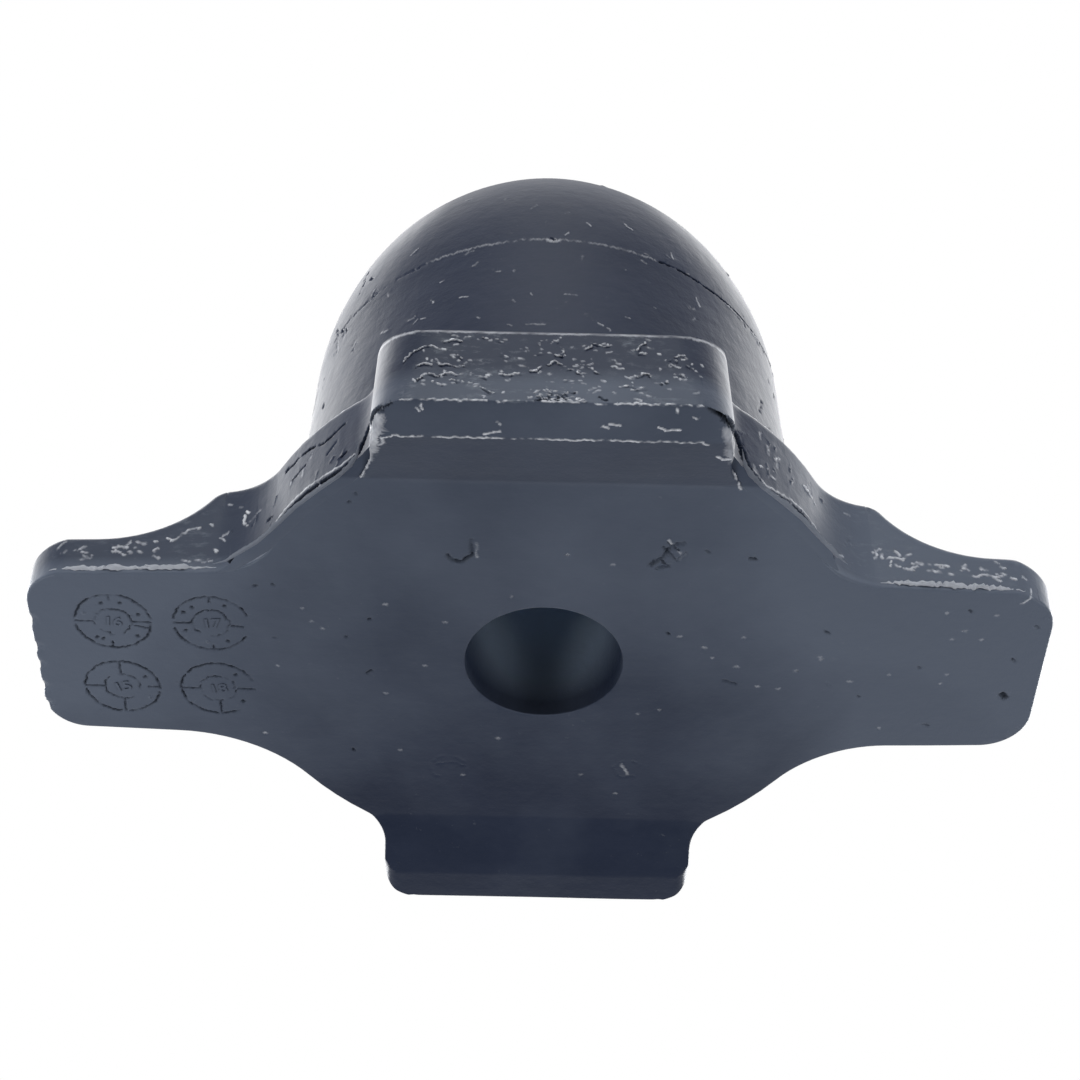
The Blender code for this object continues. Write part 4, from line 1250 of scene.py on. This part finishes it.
def underside_dust_and_painted_light():
    """Painted light over dust clouds on the underside: lighter on the wings and towards the front, darker towards the
    back lug and on the front ramp.
    """
    group, source, sink = new_group("underside_dust_and_painted_light", [("Amount", 1.0)],
                                    [("Dust And Painted Light", "NodeSocketFloat"), ("Deep Pale", "NodeSocketFloat")])
    place, x, y, z = coordinates(group)
    low = ramp(z, 8 * MM, 4 * MM)
    # Painted light: lighter towards the front and out on the wings
    painted_light_forward = ramp(y, 34 * MM, -22 * MM)
    painted_light_sideways = ramp(maths("ABSOLUTE", plus(x, 3 * MM)), 22 * MM, 78 * MM)
    clouds_here = maths("SUBTRACT", noise_field(place, 30, 4, 0.55), 0.5)
    dust_and_painted_light = plus(times(painted_light_forward, 0.65), times(painted_light_sideways, 0.75))
    dust_and_painted_light = plus(dust_and_painted_light, times(clouds_here, 0.9), True)
    dust_and_painted_light = times(dust_and_painted_light, low)
    # Painted shade on the front ramp
    painted_shade_on_ramp = times(ramp(y, -(PAD_CREASE - 0.3 * MM), -(PAD_CREASE + 0.3 * MM)),
                    ramp(y, -(PAD_LAND + 0.3 * MM), -(PAD_LAND - 0.3 * MM)))
    dust_and_painted_light = times(dust_and_painted_light, maths("SUBTRACT", 1.0, times(painted_shade_on_ramp, 0.45)))
    # Painted sheen on the side walls, lighter on the right; and a paler strip inside the socket, bluish deeper in
    painted_sheen_on_walls = times(ramp(z, 24 * MM, 20 * MM),
                 ramp(maths("ABSOLUTE", x), 30 * MM, 52 * MM))
    painted_light_rightward = ramp(x, -10 * MM, 50 * MM)
    painted_sheen_on_walls = times(painted_sheen_on_walls, plus(times(painted_light_rightward, 0.64), 0.26))
    dust_and_painted_light = maths("MAXIMUM", dust_and_painted_light, painted_sheen_on_walls)
    beside = maths("POWER", maths("SUBTRACT", x, HOLE_AXIS_X), 2.0)
    radius = maths("SQRT", plus(beside, maths("POWER", y, 2.0)), 0.0)
    socket = times(ramp(radius, 13.2 * MM, 12.8 * MM),
                   ramp(z, 60 * MM, 58 * MM))
    aside = maths("ABSOLUTE", maths("SUBTRACT", x, HOLE_AXIS_X))
    socket = times(socket, ramp(aside, 14 * MM, 5 * MM))
    dust_and_painted_light = maths("MAXIMUM", dust_and_painted_light, times(socket, 0.4))
    deep = times(socket, ramp(z, 6 * MM, 28 * MM))
    group.links.new(times(deep, source.outputs["Amount"], True), sink.inputs["Deep Pale"])
    group.links.new(times(dust_and_painted_light, source.outputs["Amount"], True), sink.inputs["Dust And Painted Light"])
    return group


def scuffed_faces():
    """Small smeared scuffs on the lugs' outer faces and, fainter, on the wings' side walls."""
    group, source, sink = new_group("scuffed_faces", [("Amount", 1.0)], [("Scuff", "NodeSocketFloat")])
    place, x, y, z = coordinates(group)
    smears = ramp(noise_field(place, 1.2, 5, 0.72, (0.42, 1, 1)), 0.52, 0.72)
    areas = ramp(noise_field(place, 7, 3, 0.6), 0.42, 0.62)
    aside = maths("ABSOLUTE", x)
    outward = maths("ABSOLUTE", y)
    face = ramp(outward, 57.5 * MM, 57.9 * MM)
    walls = times(ramp(aside, 45 * MM, 50 * MM), ramp(outward, 17.0 * MM, 17.8 * MM))
    walls = times(walls, ramp(z, 3.5 * MM, 3.9 * MM))
    where = plus(face, times(walls, 0.6), True)
    scuff = times(times(smears, areas), where)
    group.links.new(times(scuff, source.outputs["Amount"], True), sink.inputs["Scuff"])
    return group


def mould_grain():
    group, source, sink = new_group("mould_grain", [("Depth", 1.0)], [("Normal", "NodeSocketVector")])
    place = group.nodes.new("ShaderNodeTexCoord").outputs["Object"]
    fine = noise_field(place, 0.5, 3, 0.6)
    lumps = noise_field(place, 3.2, 4, 0.55)
    drags = noise_field(place, 1.6, 3, 0.6, (0.12, 0.9, 0.9))
    height = plus(times(fine, 0.02 * MM), times(lumps, 0.13 * MM))
    height = plus(height, times(drags, 0.03 * MM))
    bump = group.nodes.new("ShaderNodeBump")
    bump.inputs["Distance"].default_value = 1.0
    group.links.new(source.outputs["Depth"], bump.inputs["Strength"])
    group.links.new(height, bump.inputs["Height"])
    group.links.new(bump.outputs[0], sink.inputs["Normal"])
    return group


clouds, dust_and_light, scuffs, grain = cloudy_skin(), underside_dust_and_painted_light(), scuffed_faces(), mould_grain()
print("groups:", clouds.name, dust_and_light.name, scuffs.name, grain.name)

# %% [markdown]
# ## Rubber
# Moulded rubber is nearly black with a blue cast and a satin sheen. Its skin is darker and shinier than torn
# rubber, which shows the pale chalky filler inside. One function makes both, with more or less of the torn
# look; on the body the torn look follows the paleness that the marks left in the mesh, which also holds
# painted glints on the nicks, painted highlights on edges and, where negative, painted shade that turns
# cracks, grooves and pits near-black. A paler dusty tone follows dust clouds and painted light on the
# underside and side walls, and deep in the socket the walls turn paler and bluish.
# %% Rubber finishes
SKIN_DARK = (0.0060, 0.0105, 0.0265, 1)
SKIN_BLOOM = (0.0130, 0.0185, 0.0380, 1)
# Dust with painted light and sheen on the underside and side walls
SKIN_DUST_AND_PAINTED_LIGHT = (0.0785, 0.0945, 0.1289, 1)
# Paler, bluish tone deep in the socket
SOCKET_DEEP_PALE = (0.46, 0.58, 0.74, 1)
SCUFF = (0.15, 0.17, 0.20, 1)
DUST = (0.16, 0.17, 0.19, 1)
# Torn rubber, also used for painted glints and highlights
TORN_AND_PAINTED_HIGHLIGHT = (0.62, 0.64, 0.69, 1)
# Painted shade in cracks, grooves and pits
PAINTED_SHADE_BLACK = (0.002, 0.0025, 0.003, 1)


def mix_colour(factor, first, second):
    tree = factor.id_data
    node = tree.nodes.new("ShaderNodeMix")
    node.data_type = "RGBA"
    for socket, value in ((node.inputs[0], factor), (node.inputs[6], first), (node.inputs[7], second)):
        if isinstance(value, (tuple, int, float)):
            socket.default_value = value
        else:
            tree.links.new(value, socket)
    return node.outputs[2]


def placed_group(tree, group):
    node = tree.nodes.new("ShaderNodeGroup")
    node.node_tree = group
    return node


def rubber(name, torn, depth, roughness):
    material = bpy.data.materials.new(name)
    material.use_nodes = True
    tree = material.node_tree
    shader = tree.nodes["Principled BSDF"]
    cloud, bumps, dust_and_light_node, scuffed = [placed_group(tree, group) for group in (clouds, grain, dust_and_light, scuffs)]
    bumps.inputs["Depth"].default_value = depth
    marked = tree.nodes.new("ShaderNodeAttribute")
    marked.attribute_name = "torn_and_painted_light"
    painted_light_and_torn = plus(marked.outputs["Fac"], torn, True)
    colour = mix_colour(cloud.outputs["Bloom"], SKIN_DARK, SKIN_BLOOM)
    # Painted light and sheen, mixed with dust clouds, on the underside and side walls
    colour = mix_colour(dust_and_light_node.outputs["Dust And Painted Light"], colour, SKIN_DUST_AND_PAINTED_LIGHT)
    # Paler and bluish deep in the socket, on its front and back walls
    colour = mix_colour(dust_and_light_node.outputs["Deep Pale"], colour, SOCKET_DEEP_PALE)
    colour = mix_colour(times(scuffed.outputs["Scuff"], 0.7), colour, SCUFF)
    colour = mix_colour(times(cloud.outputs["Speck"], 0.35), colour, DUST)
    # Pale torn rubber, with painted glints on the nicks and painted highlights on edges
    colour = mix_colour(painted_light_and_torn, colour, TORN_AND_PAINTED_HIGHLIGHT)
    # Painted shade: near-black in cracks, grooves and pits
    painted_shade = times(marked.outputs["Fac"], -1.0, True)
    colour = mix_colour(painted_shade, colour, PAINTED_SHADE_BLACK)
    tree.links.new(colour, shader.inputs["Base Color"])
    dull = maths("MULTIPLY_ADD", cloud.outputs["Bloom"], 0.10)
    dull.node.inputs[2].default_value = roughness
    dull = plus(dull, times(painted_light_and_torn, 0.12))
    tree.links.new(plus(dull, times(painted_shade, 0.5), True), shader.inputs["Roughness"])
    tree.links.new(bumps.outputs[0], shader.inputs["Normal"])
    tree.links.new(times(maths("SUBTRACT", 1.0, painted_shade), 0.15), shader.inputs["Specular IOR Level"])
    shader.inputs["Specular Tint"].default_value = (0.86, 0.94, 1.0, 1)
    return material


skin = rubber("moulded_rubber", 0.0, 1.0, 0.37)
flash_rubber = rubber("flash_rubber", 0.10, 0.6, 0.34)
torn_rubber = rubber("torn_rubber", 0.45, 1.0, 0.26)
for piece, finish in [(p, skin) for p in [body] + sheets + numbers] + [(p, flash_rubber) for p in lips] \
        + [(p, torn_rubber) for p in beads]:
    piece.data.materials.clear()
    piece.data.materials.append(finish)
    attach(piece, "root")
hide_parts("bump_stop")

body.data.shade_smooth()
body.data.set_sharp_from_angle(angle=SHARP_BODY)
flat_faces = body.modifiers.new("even_shading", "WEIGHTED_NORMAL")
flat_faces.keep_sharp = True
flat_faces.weight = 70

# %% [markdown]
# ## Stage
# The photograph looks up at the underside on pure white. The floor is pale and matt. It shows only to a
# camera above it, so that from below one can look through it; every other ray passes, and its shadow stays.
# %% Floor
FLOOR_HALF_SIDE = 3.0                  # metres


def make_floor():
    bm = bmesh.new()
    bmesh.ops.create_grid(bm, x_segments=1, y_segments=1, size=FLOOR_HALF_SIDE)
    floor = link(bm, "floor")
    material = bpy.data.materials.new("pale_floor")
    material.use_nodes = True
    tree = material.node_tree
    tree.nodes.clear()
    output = tree.nodes.new("ShaderNodeOutputMaterial")
    mix = tree.nodes.new("ShaderNodeMixShader")
    clear = tree.nodes.new("ShaderNodeBsdfTransparent")
    matt = tree.nodes.new("ShaderNodeBsdfDiffuse")
    matt.inputs["Color"].default_value = (0.8, 0.8, 0.8, 1)
    path = tree.nodes.new("ShaderNodeLightPath")
    side = tree.nodes.new("ShaderNodeNewGeometry")
    shown = maths("SUBTRACT", path.outputs["Is Camera Ray"], side.outputs["Backfacing"], True)
    tree.links.new(shown, mix.inputs[0])
    tree.links.new(clear.outputs[0], mix.inputs[1])
    tree.links.new(matt.outputs[0], mix.inputs[2])
    tree.links.new(mix.outputs[0], output.inputs["Surface"])
    floor.data.materials.append(material)
    floor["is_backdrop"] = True


make_floor()

# %% [markdown]
# ## Light
# A light tent: large soft discs stand round the part, and a faint even light fills the rest. The discs
# behind it give the pale rims on the dome and shoulders, the ones in front and at the sides the sheen on the
# lug and the wings. Two small ones light the flat underside from its sides. The camera sees plain white
# where nothing stands, and so does what shines on the rubber.
# %% World and lamps
FILL = 0.15
DISC_SIZE = 0.7                        # metres
DISC_DISTANCE = 1.0
MIDDLE = Vector((0, 0, 0.04))
DISCS = {                              # name: (degrees round from the front, degrees above level, watts)
    "front": (0, 20, 7.6), "front_high": (0, 50, 1.3), "above": (0, 90, 0.3), "left": (90, 20, 5.8),
    "right": (270, 20, 1.0), "front_right": (315, 20, 0.9), "back": (180, 20, 2.5), "back_left": (135, 20, 8.6),
    "back_left_high": (135, 50, 3.2), "back_right": (225, 20, 10.0), "back_right_high": (225, 50, 3.0),
}
SMALL_DISC_SIZE = 0.22
SMALL_DISCS = {                        # name: (place in metres, watts), below the underside
    "beside_left": (-0.32, 0, -0.30, 1.14), "beside_right": (0.32, 0, -0.30, 0.94),
}


def make_world(strength):
    world = bpy.data.worlds.new("studio")
    bpy.context.scene.world = world
    world.use_nodes = True
    tree = world.node_tree
    tree.nodes.clear()
    output = tree.nodes.new("ShaderNodeOutputWorld")
    light = tree.nodes.new("ShaderNodeBackground")
    light.inputs["Strength"].default_value = strength
    light.inputs["Color"].default_value = (1, 1, 1, 1)
    shown = tree.nodes.new("ShaderNodeBackground")
    shown.inputs["Color"].default_value = (1, 1, 1, 1)
    mix = tree.nodes.new("ShaderNodeMixShader")
    path = tree.nodes.new("ShaderNodeLightPath")
    seen = plus(path.outputs["Is Camera Ray"], path.outputs["Is Glossy Ray"], True)
    seen = plus(seen, path.outputs["Is Transmission Ray"], True)
    tree.links.new(seen, mix.inputs[0])
    tree.links.new(light.outputs[0], mix.inputs[1])
    tree.links.new(shown.outputs[0], mix.inputs[2])
    tree.links.new(mix.outputs[0], output.inputs["Surface"])


def soft_disc(name, place, aim, size, watts):
    data = bpy.data.lights.new(name, "AREA")
    data.shape, data.size, data.energy = "DISK", size, watts
    lamp = bpy.data.objects.new(name, data)
    bpy.context.scene.collection.objects.link(lamp)
    lamp.location = place
    lamp.rotation_euler = (aim - place).to_track_quat("-Z", "Y").to_euler()


make_world(FILL)
for name, (degrees_round, degrees_up, watts) in DISCS.items():
    around, up = math.radians(degrees_round), math.radians(degrees_up)
    way = Vector((-math.sin(around) * math.cos(up), -math.cos(around) * math.cos(up), math.sin(up)))
    soft_disc(name, MIDDLE + way * DISC_DISTANCE, MIDDLE, DISC_SIZE, watts)
for name, (x, y, z, watts) in SMALL_DISCS.items():
    soft_disc(name, Vector((x, y, z)), Vector((0.25 * x, 0.1 * y, 0)), SMALL_DISC_SIZE, watts)
bpy.context.scene.view_settings.view_transform = "Standard"
print(len(DISCS), "large and", len(SMALL_DISCS), "small soft discs")

# %% [markdown]
# ## Size
# The size of the finished model is printed.
# %% Finish
low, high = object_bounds()
print("finished box in mm:", [round(v / MM, 2) for v in low], [round(v / MM, 2) for v in high])
